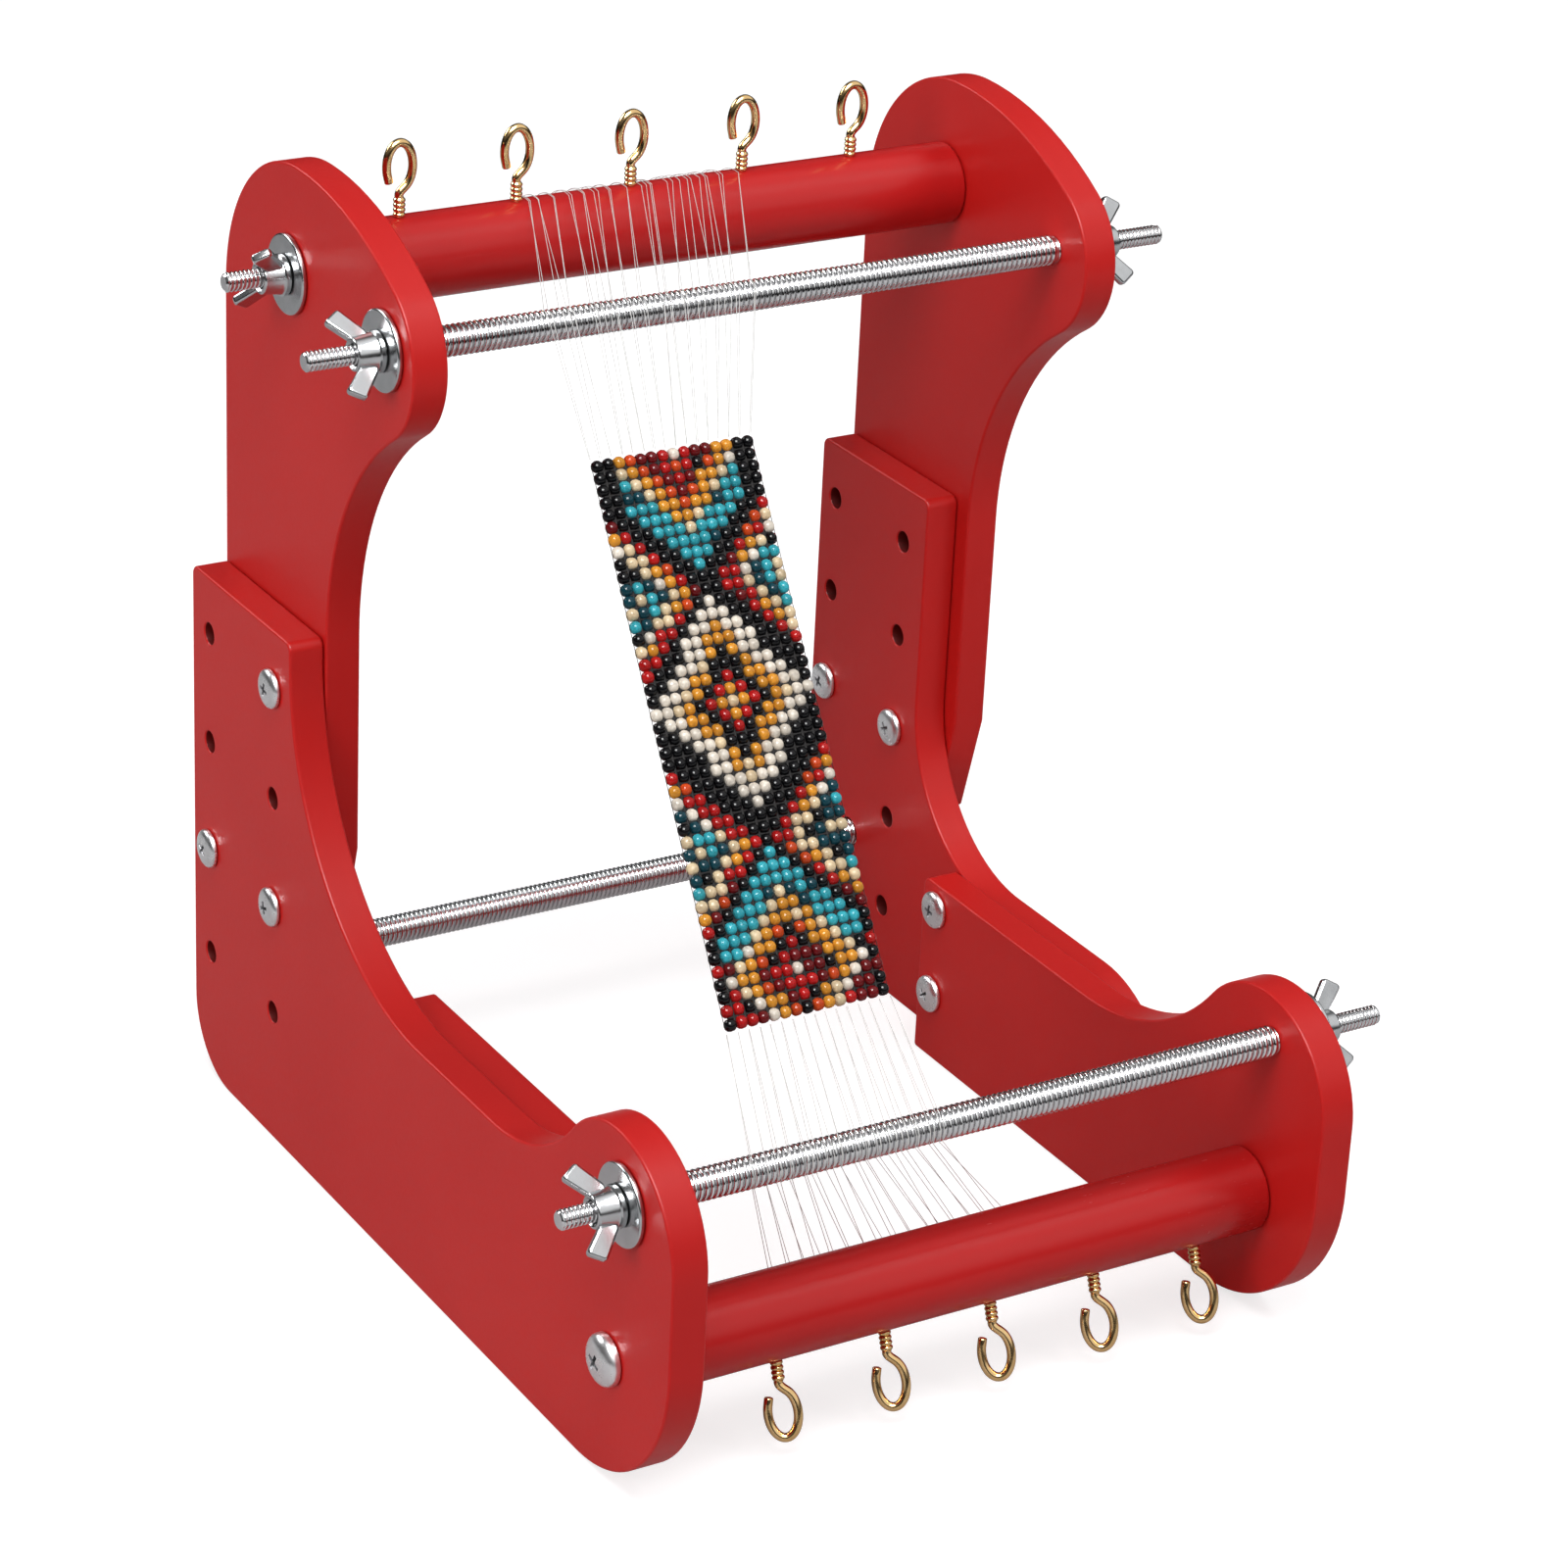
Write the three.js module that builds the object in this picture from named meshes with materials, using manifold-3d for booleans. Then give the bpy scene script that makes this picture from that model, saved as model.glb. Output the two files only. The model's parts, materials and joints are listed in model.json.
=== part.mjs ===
// A standing bead loom: two built-up wooden sides, two dowels with brass hooks,
// three threaded rods, and a strip of beadwork on its warp threads.
// Millimetres. X runs along the dowels, Y to the back, Z up. The origin is on
// the floor, under the middle of the loom.

import * as THREE from 'three';
import { mergeVertices } from 'three/addons/utils/BufferGeometryUtils.js';
import Module from 'manifold-3d';

// Fits
const seam = 0.3; // space left between pieces that touch
const boreClearance = 0.3; // radial play of a shank or stud in its hole

// Side boards
const boardThickness = 11;
const innerWidth = 201; // left base board to right foot board
const depth = 303.5;
const edgeRadius = 3;
const heelRadius = 25;
const toeRadius = 50;
const noseRadius = 32;

const leftPanelTop = 170;
const leftPostDepth = 69;
const leftThroatRadius = 86;
const leftFootTop = 77;
const leftNoseHeight = 78;
const leftSaddleRadius = 60;

const rightPanelTop = 177;
const rightPostDepth = 64;
const rightThroatRadius = 50;
const rightPanelFootTop = 58;
const rightPanelReach = 203; // from the back edge to the hidden front end
const rightPanelTipRadius = 40;
const footBoardTop = 61;
const footBoardNoseHeight = 71.5;
const footBoardSaddleRadius = 80;
const footBoardLength = 211.5;

const doublerTop = 75.5;
const doublerSetBack = 120; // back edge of the base board to the doubler
const doublerSetFront = 60.5; // its front edge to the doubler
const doublerTipRadius = 22;

// Upper arms
const armTop = 308;
const armBottom = 66;
const armWaistDepth = 70;
const armWaistHeight = 170;
const armCrownRadius = 118;
const armDiscRadius = 25.5;
const discBehindRod = 8;
const discBelowRod = 3.5;
const tailCutHeight = 34;
const tailCutDepth = 9;

// Rows of height holes in the base boards
const holeRadius = 3.5;
const holeTopMargin = 18.5;
const leftRowCount = 4;
const leftHolePitch = 36;
const leftRearInset = 12;
const leftColumnSpacing = 45;
const rightRowCount = 5;
const rightHolePitch = 32.3;
const rightRearInset = 9;
const rightColumnSpacing = 41.5;

// Threaded rods
const rodRadius = 4.7;
const studRadius = 3;
const upperRodSetBack = 106.5;
const upperRodDrop = 36; // below the top of the arm
const upperStudLeft = 25; // from the board to the end of the stud
const upperStudRight = 27;
const lowerRodSetFront = 27;
const lowerRodHeight = 90;
const lowerStudLeft = 20;
const lowerStudRight = 26;
const rearRodSetBack = 28;
const rearRodHeight = 46.5;
const rearRodSocket = 7;

// Dowels
const dowelRadius = 12.7;
const upperDowelSetBack = 45;
const upperDowelDrop = 33; // below the top of the arm
const lowerDowelSetFront = 32.5;
const lowerDowelHeight = 39;
const dowelStudReach = 21;
const endBoreDepth = 26;

// Wing nuts and washers
const washerRadius = 12;
const washerThickness = 1.6;
const nutBaseRadius = 6.2;
const nutTopRadius = 4.8;
const nutFlange = 1.5;
const nutHeight = 8;
const wingThickness = 2.8;
const wingOutline = [[4.3, 1.6], [6.6, 2.2], [14, 8.2], [10.6, 13.4], [4.3, 7.4]];

// Screws
const dowelScrewHeadRadius = 7.7;
const dowelScrewHeadHeight = 4.6;
const boardScrewHeadRadius = 6.1;
const boardScrewHeadHeight = 2.7;
const boardScrewShankRadius = 2.5;
const boardScrewBite = 8.5; // into the second board
const pairedScrewSpacing = 30;
const footScrewInset = 8;
const footScrewTopMargin = 8.5;

// Hooks
const hookWireRadius = 1.2;
const hookScrewDepth = 8;
const collarHeight = 4.8;
const collarRadius = 1.8;
const collarGrooveRadius = 1.4;
const collarRidges = 3;
const hookRingHalfWidth = 4.3;
const hookRingHalfHeight = 6.4;
const hookRingHeight = 16.2; // from the dowel to the middle of the ring
const hookNeckAngle = -40;
const hookTipAngle = 225;
const hooksPerDowel = 5;
const upperHookSpacing = 38.3;
const upperHookMiddle = -0.2; // to the right of the middle of the frame
const lowerHookSpacing = 35.2;
const lowerHookMiddle = -1.8;
const lowerHookLean = 20; // forward of straight down, in degrees
const lowerHookTwist = 32; // turn of each hook on its own shank

// Warp and beadwork
const warpRadius = 0.25;
const beadColumns = 15;
const beadRows = 45;
const columnPitch = 3.47;
const rowPitch = 3.72;
const beadRadius = 1.75;
const rowGroove = 0.6;
const weaveStart = 44; // from the upper rod, along the warp
const weaveMiddleTop = -38.1;
const weaveMiddleBottom = -54.5;
const upperDowelFanSpacing = 4.7;
const upperRodFanMiddle = -28.1;
const upperRodFanSpacing = 4.4;
const lowerRodFanMiddle = -55.8;
const lowerRodFanSpacing = 4.05;
const fanSpacesPerHook = 7; // on the lower dowel
const upperWrapStart = -30; // degrees from the back of the dowel
const lowerWrapEnd = -100;

// Facets
const arcSegments = 6;
const roundSides = 24;
const smallSides = 10;

// Where the boards and the axes lie
const front = -depth / 2;
const back = depth / 2;
const width = 4 * boardThickness + innerWidth + 2 * seam;
const leftBaseX = -width / 2; // the boards lie evenly about the middle of the frame
const leftInnerX = leftBaseX + boardThickness + seam;
const footBoardX = leftBaseX + boardThickness + innerWidth;
const rightPanelX = footBoardX + boardThickness + seam;
const rightArmX = rightPanelX + boardThickness + seam;

const upperRod = new THREE.Vector2(back - upperRodSetBack, armTop - upperRodDrop);
const lowerRod = new THREE.Vector2(front + lowerRodSetFront, lowerRodHeight);
const rearRod = new THREE.Vector2(back - rearRodSetBack, rearRodHeight);
const upperDowel = new THREE.Vector2(back - upperDowelSetBack, armTop - upperDowelDrop);
const lowerDowel = new THREE.Vector2(front + lowerDowelSetFront, lowerDowelHeight);

const leftEnd = Math.min(leftInnerX - upperStudLeft, leftBaseX - lowerStudLeft);
const rightEnd = Math.max(width / 2 + upperStudRight, footBoardX + boardThickness + lowerStudRight);

const leftColumns = [back - leftRearInset, back - leftRearInset - leftColumnSpacing];
const rightColumns = [back - rightRearInset, back - rightRearInset - rightColumnSpacing];
const studBore = studRadius + boreClearance;
const pilotRadius = boardScrewShankRadius + boreClearance;
const pilotDepth = boardScrewBite + seam + 0.5;
const degrees = THREE.MathUtils.degToRad;

// Materials
const redPaint = new THREE.MeshStandardMaterial({ color: 0xb3201d, roughness: 0.45, metalness: 0 });
const plating = new THREE.MeshStandardMaterial({ color: 0xc4c7ca, roughness: 0.28, metalness: 1 });
const brass = new THREE.MeshStandardMaterial({ color: 0xc8963e, roughness: 0.22, metalness: 1 });
const beads = new THREE.MeshStandardMaterial({ color: 0x3a211c, roughness: 0.2, metalness: 0 });
const thread = new THREE.MeshStandardMaterial({ color: 0xe9e5da, roughness: 0.7, metalness: 0 });

// Cutting and joining
const wasm = await Module();
wasm.setup();

function toSolid(geometry) {
  const bare = geometry.clone();
  bare.deleteAttribute('normal');
  bare.deleteAttribute('uv');
  const merged = mergeVertices(bare, 1e-4);
  const corners = merged.index.array;
  const kept = [];
  for (let i = 0; i < corners.length; i += 3) {
    const [a, b, c] = corners.slice(i, i + 3);
    if (a !== b && b !== c && c !== a) kept.push(a, b, c);
  }
  return new wasm.Manifold(new wasm.Mesh({
    numProp: 3,
    vertProperties: Float32Array.from(merged.attributes.position.array),
    triVerts: Uint32Array.from(kept),
  }));
}

function toGeometry(solid) {
  const mesh = solid.getMesh();
  const geometry = new THREE.BufferGeometry();
  geometry.setAttribute('position', new THREE.BufferAttribute(mesh.vertProperties, 3));
  geometry.setIndex(new THREE.BufferAttribute(mesh.triVerts, 1));
  geometry.computeVertexNormals();
  return geometry;
}

function cut(geometry, tools) {
  let solid = toSolid(geometry);
  for (const tool of tools) solid = solid.subtract(toSolid(tool));
  return toGeometry(solid);
}

function join(geometries) {
  let solid = toSolid(geometries[0]);
  for (const other of geometries.slice(1)) solid = solid.add(toSolid(other));
  return toGeometry(solid);
}

// Basic forms

// A cylinder along X, from start to end, on the axis that yz gives
function barAlongX(radius, start, end, yz = new THREE.Vector2(), sides = roundSides) {
  const geometry = new THREE.CylinderGeometry(radius, radius, end - start, sides);
  geometry.rotateZ(-Math.PI / 2);
  return geometry.translate((start + end) / 2, yz.x, yz.y);
}

// A turned form along X. The profile is a list of [distance along X, radius].
function turned(profile, sides = roundSides) {
  const points = profile.map(([x, r]) => new THREE.Vector2(r, x));
  return new THREE.LatheGeometry(points, sides).rotateZ(-Math.PI / 2);
}

// A wire along a list of points. Its section keeps one side towards reference.
function wire(points, radius, sides, reference) {
  const positions = [];
  const indices = [];
  points.forEach((point, i) => {
    const before = points[Math.max(i - 1, 0)];
    const after = points[Math.min(i + 1, points.length - 1)];
    const along = after.clone().sub(before).normalize();
    const across = reference.clone().addScaledVector(along, -reference.dot(along)).normalize();
    const up = along.clone().cross(across);
    for (let k = 0; k < sides; k++) {
      const angle = (2 * Math.PI * (k + 0.5)) / sides;
      const corner = point.clone()
        .addScaledVector(across, radius * Math.cos(angle))
        .addScaledVector(up, radius * Math.sin(angle));
      positions.push(corner.x, corner.y, corner.z);
      if (i === 0) continue;
      const next = (k + 1) % sides;
      const [a, b] = [(i - 1) * sides + k, (i - 1) * sides + next];
      indices.push(a, b, b + sides, a, b + sides, a + sides);
    }
  });
  const last = (points.length - 1) * sides;
  for (let k = 1; k < sides - 1; k++) {
    indices.push(0, k + 1, k, last, last + k, last + k + 1);
  }
  const geometry = new THREE.BufferGeometry();
  geometry.setAttribute('position', new THREE.Float32BufferAttribute(positions, 3));
  geometry.setIndex(indices);
  geometry.computeVertexNormals();
  return geometry;
}

// Outlines of the boards, seen from the right: Y across, Z up

// The rounded nose that carries the lower rod, its saddle, and the toe under it
function addNose(shape, footTop, noseHeight, saddleRadius) {
  const noseY = front + noseRadius;
  const saddleHeight = footTop + saddleRadius;
  const reach = noseRadius + saddleRadius;
  const saddleY = noseY + Math.sqrt(reach ** 2 - (saddleHeight - noseHeight) ** 2);
  const towardsNose = Math.atan2(noseHeight - saddleHeight, noseY - saddleY);
  shape.absarc(saddleY, saddleHeight, saddleRadius, -Math.PI / 2, towardsNose, true);
  shape.absarc(noseY, noseHeight, noseRadius, towardsNose + Math.PI, Math.PI, false);
  shape.absarc(front + toeRadius, toeRadius, toeRadius, Math.PI, 1.5 * Math.PI, false);
}

// The post of a base board, from the heel round to the throat above the foot
function addPost(shape, top, postDepth, throatRadius, footTop) {
  const postFront = back - postDepth;
  shape.absarc(back - heelRadius, heelRadius, heelRadius, -Math.PI / 2, 0, false);
  shape.absarc(back - edgeRadius, top - edgeRadius, edgeRadius, 0, Math.PI / 2, false);
  shape.absarc(postFront + edgeRadius, top - edgeRadius, edgeRadius, Math.PI / 2, Math.PI, false);
  shape.absarc(postFront - throatRadius, footTop + throatRadius, throatRadius, 0, -Math.PI / 2, true);
}

function leftBaseOutline() {
  const shape = new THREE.Shape();
  shape.moveTo(front + toeRadius, 0);
  addPost(shape, leftPanelTop, leftPostDepth, leftThroatRadius, leftFootTop);
  addNose(shape, leftFootTop, leftNoseHeight, leftSaddleRadius);
  return shape;
}

function rightPanelOutline() {
  const end = back - rightPanelReach;
  const tip = rightPanelTipRadius;
  const shape = new THREE.Shape();
  shape.moveTo(end, 0);
  shape.lineTo(back - heelRadius, 0);
  addPost(shape, rightPanelTop, rightPostDepth, rightThroatRadius, rightPanelFootTop);
  shape.absarc(end + tip, rightPanelFootTop - tip, tip, Math.PI / 2, Math.PI, false);
  return shape;
}

function footBoardOutline() {
  const rear = front + footBoardLength;
  const shape = new THREE.Shape();
  shape.moveTo(front + toeRadius, 0);
  shape.lineTo(rear, 0);
  shape.absarc(rear - edgeRadius, footBoardTop - edgeRadius, edgeRadius, 0, Math.PI / 2, false);
  addNose(shape, footBoardTop, footBoardNoseHeight, footBoardSaddleRadius);
  return shape;
}

function doublerOutline() {
  const rear = back - doublerSetBack;
  const end = front + doublerSetFront;
  const tip = doublerTipRadius;
  const shape = new THREE.Shape();
  shape.moveTo(end, 0);
  shape.lineTo(rear, 0);
  shape.absarc(rear - edgeRadius, doublerTop - edgeRadius, edgeRadius, 0, Math.PI / 2, false);
  shape.absarc(end + tip, doublerTop - tip, tip, Math.PI / 2, Math.PI, false);
  return shape;
}

// The arm: a disc round the rod, a flat crown over it that runs into the round
// back corner, a hollow throat below, and a tail that is screwed to the base board
function armOutline() {
  const waist = back - armWaistDepth;
  const disc = new THREE.Vector2(upperRod.x + discBehindRod, upperRod.y - discBelowRod);
  const crownHeight = armTop - armCrownRadius;
  const crownY = disc.x
    + Math.sqrt((armCrownRadius - armDiscRadius) ** 2 - (crownHeight - disc.y) ** 2);
  const crownEnd = Math.atan2(disc.y - crownHeight, disc.x - crownY);
  const aside = disc.x - waist;
  const above = disc.y - armWaistHeight;
  const throatRadius = (aside ** 2 + above ** 2 - armDiscRadius ** 2) / (2 * (armDiscRadius - aside));
  const throatY = waist - throatRadius;
  const towardsDisc = Math.atan2(above, disc.x - throatY);
  const shoulder = back - crownY;
  const shape = new THREE.Shape();
  shape.moveTo(waist + tailCutDepth, armBottom);
  shape.lineTo(back, armBottom);
  shape.absarc(back - shoulder, armTop - shoulder, shoulder, 0, Math.PI / 2, false);
  shape.absarc(crownY, crownHeight, armCrownRadius, Math.PI / 2, crownEnd, false);
  shape.absarc(disc.x, disc.y, armDiscRadius, crownEnd, towardsDisc + Math.PI, false);
  shape.absarc(throatY, armWaistHeight, throatRadius, towardsDisc, 0, true);
  shape.lineTo(waist, armBottom + tailCutHeight);
  return shape;
}

// Boards

function drill(shape, y, z, radius) {
  const hole = new THREE.Path();
  hole.absarc(y, z, radius, 0, 2 * Math.PI, true);
  shape.holes.push(hole);
}

// The outline lies in Y and Z and is given its thickness along X
function board(shape) {
  const settings = { depth: boardThickness, bevelEnabled: false, curveSegments: arcSegments };
  const geometry = new THREE.ExtrudeGeometry(shape, settings);
  const alongX = new THREE.Matrix4().makeBasis(
    new THREE.Vector3(0, 1, 0), new THREE.Vector3(0, 0, 1), new THREE.Vector3(1, 0, 0));
  return geometry.applyMatrix4(alongX);
}

// Blind holes that start at the face with the lower X, or at the one with the higher X
function socketsLow(places, radius, deep) {
  return places.map((place) => barAlongX(radius, -1, deep, place));
}

function socketsHigh(places, radius, deep) {
  return places.map((place) => barAlongX(radius, boardThickness - deep, boardThickness + 1, place));
}

// The height holes of a base board: a list for each column, from the top down
function holeRows(columns, panelTop, pitch, rows) {
  return columns.map((y) => Array.from(
    { length: rows }, (_, row) => new THREE.Vector2(y, panelTop - holeTopMargin - row * pitch)));
}
const leftHoles = holeRows(leftColumns, leftPanelTop, leftHolePitch, leftRowCount);
const rightHoles = holeRows(rightColumns, rightPanelTop, rightHolePitch, rightRowCount);

function drillRows(shape, columns) {
  for (const place of columns.flat()) drill(shape, place.x, place.y, holeRadius);
}

// Screws of the arms: the hole of the base board that each one takes
function leftArmScrews() {
  const [rear, fore] = leftHoles;
  return [fore[0], rear[2], fore[2]];
}

function rightArmScrews() {
  const [rear, fore] = rightHoles;
  return [rear[2], fore[2]];
}

// Screws of the foot boards, one above the other near the back end
function pairedScrews(rearEnd, top) {
  return [0, 1].map((i) => new THREE.Vector2(
    rearEnd - footScrewInset, top - footScrewTopMargin - i * pairedScrewSpacing));
}
const footBoardScrews = pairedScrews(front + footBoardLength, footBoardTop);
const doublerScrews = pairedScrews(back - doublerSetBack, doublerTop);

const loom = new THREE.Group();

function add(name, geometry, material, x = 0, yz = new THREE.Vector2()) {
  const mesh = new THREE.Mesh(geometry, material);
  mesh.name = name;
  mesh.position.set(x, yz.x, yz.y);
  loom.add(mesh);
  return mesh;
}

function addBoards() {
  const rearSocket = rodRadius + boreClearance;

  const leftBase = leftBaseOutline();
  drillRows(leftBase, leftHoles);
  for (const place of [lowerRod, lowerDowel]) drill(leftBase, place.x, place.y, studBore);
  add('left_base_board', cut(board(leftBase), [
    ...socketsHigh([rearRod], rearSocket, rearRodSocket),
    ...socketsHigh(doublerScrews, pilotRadius, pilotDepth),
  ]), redPaint, leftBaseX);

  const doubler = doublerOutline();
  for (const place of doublerScrews) drill(doubler, place.x, place.y, pilotRadius);
  add('left_foot_doubler', board(doubler), redPaint, leftInnerX);

  const rightPanel = rightPanelOutline();
  drillRows(rightPanel, rightHoles);
  add('right_base_board', cut(board(rightPanel), [
    ...socketsLow([rearRod], rearSocket, rearRodSocket),
    ...socketsLow(footBoardScrews, pilotRadius, pilotDepth),
  ]), redPaint, rightPanelX);

  const footBoard = footBoardOutline();
  for (const place of footBoardScrews) drill(footBoard, place.x, place.y, pilotRadius);
  for (const place of [lowerRod, lowerDowel]) drill(footBoard, place.x, place.y, studBore);
  add('right_foot_board', board(footBoard), redPaint, footBoardX);

  for (const [name, x, screws] of [
    ['left_upper_arm', leftInnerX, leftArmScrews()],
    ['right_upper_arm', rightArmX, rightArmScrews()],
  ]) {
    const arm = armOutline();
    for (const place of [upperRod, upperDowel]) drill(arm, place.x, place.y, studBore);
    add(name, cut(board(arm), socketsLow(screws, pilotRadius, pilotDepth)), redPaint, x);
  }
}

// Threaded rods

// A thick rod that bears on the two boards, turned down where it goes through them
function shoulderedRod(start, end, leftReach, rightReach) {
  const low = start + seam;
  const high = end - seam;
  const tipLow = start - boardThickness - leftReach;
  const tipHigh = end + boardThickness + rightReach;
  return turned([
    [tipLow, 0], [tipLow, studRadius], [low, studRadius], [low, rodRadius],
    [high, rodRadius], [high, studRadius], [tipHigh, studRadius], [tipHigh, 0],
  ]);
}

function addRods() {
  const upper = shoulderedRod(leftInnerX + boardThickness, rightArmX, upperStudLeft, upperStudRight);
  add('upper_threaded_rod', upper, plating, 0, upperRod);
  const lower = shoulderedRod(leftBaseX + boardThickness, footBoardX, lowerStudLeft, lowerStudRight);
  add('lower_threaded_rod', lower, plating, 0, lowerRod);
  const start = leftBaseX + boardThickness - rearRodSocket + seam;
  const end = rightPanelX + rearRodSocket - seam;
  add('rear_threaded_rod', barAlongX(rodRadius, start, end), plating, 0, rearRod);
}

// Wing nuts, each on a washer. side is -1 on the left and 1 on the right.

function wingNut() {
  const hub = turned([
    [0, studBore], [0, nutBaseRadius], [nutFlange, nutBaseRadius],
    [nutHeight, nutTopRadius], [nutHeight, studBore], [0, studBore],
  ]);
  const outline = new THREE.Shape(wingOutline.map(([r, x]) => new THREE.Vector2(r, x)));
  const wings = [0, Math.PI].map((turn) => {
    const wing = new THREE.ExtrudeGeometry(outline, { depth: wingThickness, bevelEnabled: false });
    wing.translate(0, 0, -wingThickness / 2);
    const upright = new THREE.Matrix4().makeBasis(
      new THREE.Vector3(0, 0, 1), new THREE.Vector3(1, 0, 0), new THREE.Vector3(0, 1, 0));
    return wing.applyMatrix4(upright).rotateX(turn);
  });
  return join([hub, ...wings]);
}

function washer() {
  return turned([
    [0, studBore], [0, washerRadius], [washerThickness, washerRadius],
    [washerThickness, studBore], [0, studBore],
  ]);
}

// faceX is the outer face of the board that the washer lies on
function addWingNut(name, side, faceX, yz, wingAngle) {
  const facing = side < 0 ? Math.PI : 0;
  const washerX = faceX + side * seam;
  const nutX = washerX + side * (washerThickness + seam);
  add(`${name}_washer`, washer().rotateZ(facing), plating, washerX, yz);
  const nut = add(`${name}_wing_nut`, wingNut().rotateZ(facing), plating, nutX, yz);
  nut.rotation.x = -degrees(wingAngle);
}

function addWingNuts() {
  addWingNut('upper_rod_left', -1, leftInnerX, upperRod, 44);
  addWingNut('upper_rod_right', 1, rightArmX + boardThickness, upperRod, 28);
  addWingNut('lower_rod_left', -1, leftBaseX, lowerRod, 44);
  addWingNut('lower_rod_right', 1, footBoardX + boardThickness, lowerRod, 28);
  addWingNut('upper_dowel', -1, leftInnerX, upperDowel, -38);
}

// Screws, with the shank towards X and the head behind the board's face

function screw(headRadius, headHeight, shankRadius, length) {
  return turned([
    [-headHeight, 0], [-headHeight, headRadius * 0.45], [-headHeight * 0.8, headRadius * 0.75],
    [-headHeight * 0.35, headRadius * 0.97], [0, headRadius], [0, shankRadius],
    [length - shankRadius, shankRadius], [length, 0],
  ], smallSides);
}

function addScrews() {
  const length = boardThickness + 2 * seam + boardScrewBite;
  for (const [name, faceX, places] of [
    ['left_arm_screw', leftBaseX, leftArmScrews()],
    ['right_arm_screw', rightPanelX, rightArmScrews()],
    ['foot_board_screw', footBoardX, footBoardScrews],
  ]) {
    places.forEach((place, i) => {
      const form = screw(boardScrewHeadRadius, boardScrewHeadHeight, boardScrewShankRadius, length);
      add(`${name}_${i + 1}`, form, plating, faceX - seam, place);
    });
  }
  doublerScrews.forEach((place, i) => {
    const form = screw(boardScrewHeadRadius, boardScrewHeadHeight, boardScrewShankRadius, length);
    form.rotateZ(Math.PI);
    add(`doubler_screw_${i + 1}`, form, plating, leftInnerX + boardThickness + seam, place);
  });
}

// Dowels, with their hooks and what they turn on

function addDowelScrew(name, side, faceX, yz) {
  const length = seam + boardThickness + endBoreDepth - studRadius;
  const form = screw(dowelScrewHeadRadius, dowelScrewHeadHeight, studRadius, length);
  add(name, side < 0 ? form : form.rotateZ(Math.PI), plating, faceX + side * seam, yz);
}

// A stud that is screwed into the end of the dowel and stands out of the arm
function addDowelStud(name, dowelEnd, faceX, yz) {
  const tip = dowelEnd + endBoreDepth - studRadius;
  const start = faceX - dowelStudReach;
  add(name, barAlongX(studRadius, start, tip), plating, 0, yz);
}

function hookXs(middle, spacing) {
  return Array.from({ length: hooksPerDowel }, (_, i) => middle + (i - (hooksPerDowel - 1) / 2) * spacing);
}

// The hook's own Z is the way that it points, and its ring lies in X and Z.
// Height 0 is the surface of the dowel.
function hook() {
  const ringPoint = (angle) => new THREE.Vector3(
    hookRingHalfWidth * Math.cos(angle), 0, hookRingHeight + hookRingHalfHeight * Math.sin(angle));
  const neckAngle = degrees(hookNeckAngle);
  const tipAngle = degrees(hookTipAngle);
  const neckTop = ringPoint(neckAngle);
  const neckFall = new THREE.Vector3(
    hookRingHalfWidth * Math.sin(neckAngle), 0, -hookRingHalfHeight * Math.cos(neckAngle)).normalize();
  const neckLength = (neckTop.z - collarHeight) / 2;
  const neck = new THREE.CubicBezierCurve3(
    new THREE.Vector3(0, 0, collarHeight),
    new THREE.Vector3(-hookWireRadius / 2, 0, collarHeight + neckLength * 0.8),
    neckTop.clone().addScaledVector(neckFall, neckLength),
    neckTop);
  const points = [new THREE.Vector3(0, 0, -hookScrewDepth), ...neck.getPoints(5)];
  const ringSteps = 12;
  for (let i = 1; i <= ringSteps; i++) {
    points.push(ringPoint(neckAngle + ((tipAngle - neckAngle) * i) / ringSteps));
  }
  const stem = wire(points, hookWireRadius, 6, new THREE.Vector3(0, 1, 0));

  const ridge = collarHeight / collarRidges;
  const profile = [[seam, 0], [seam, collarGrooveRadius]];
  for (let i = 0; i < collarRidges; i++) {
    profile.push([(i + 0.5) * ridge, collarRadius], [(i + 1) * ridge, collarGrooveRadius]);
  }
  profile.push([collarHeight, 0]);
  const collar = turned(profile, 8).rotateY(-Math.PI / 2);
  return join([stem, collar]);
}

// pointing is the angle of the hooks round X: 0 is up, and positive leans to the front.
// twist turns each hook on its own shank.
function addDowel(name, start, end, yz, hookPlaces, pointing, twist) {
  const tools = [
    barAlongX(studBore, start - 1, start + endBoreDepth),
    barAlongX(studBore, end - endBoreDepth, end + 1),
  ];
  for (const x of hookPlaces) {
    const bore = new THREE.CylinderGeometry(
      hookWireRadius + boreClearance, hookWireRadius + boreClearance, dowelRadius, 8);
    bore.rotateX(Math.PI / 2).translate(0, 0, dowelRadius * 1.5 - hookScrewDepth - seam);
    tools.push(bore.rotateX(pointing).translate(x, 0, 0));
  }
  add(`${name}_dowel`, cut(barAlongX(dowelRadius, start, end), tools), redPaint, 0, yz);

  const hooks = new THREE.Group();
  hooks.position.set(0, yz.x, yz.y);
  hooks.rotation.x = pointing;
  hookPlaces.forEach((x, i) => {
    const mesh = new THREE.Mesh(hook(), brass);
    mesh.name = `${name}_hook_${i + 1}`;
    mesh.position.set(x, 0, dowelRadius);
    mesh.rotation.z = twist;
    hooks.add(mesh);
  });
  loom.add(hooks);
}

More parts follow.
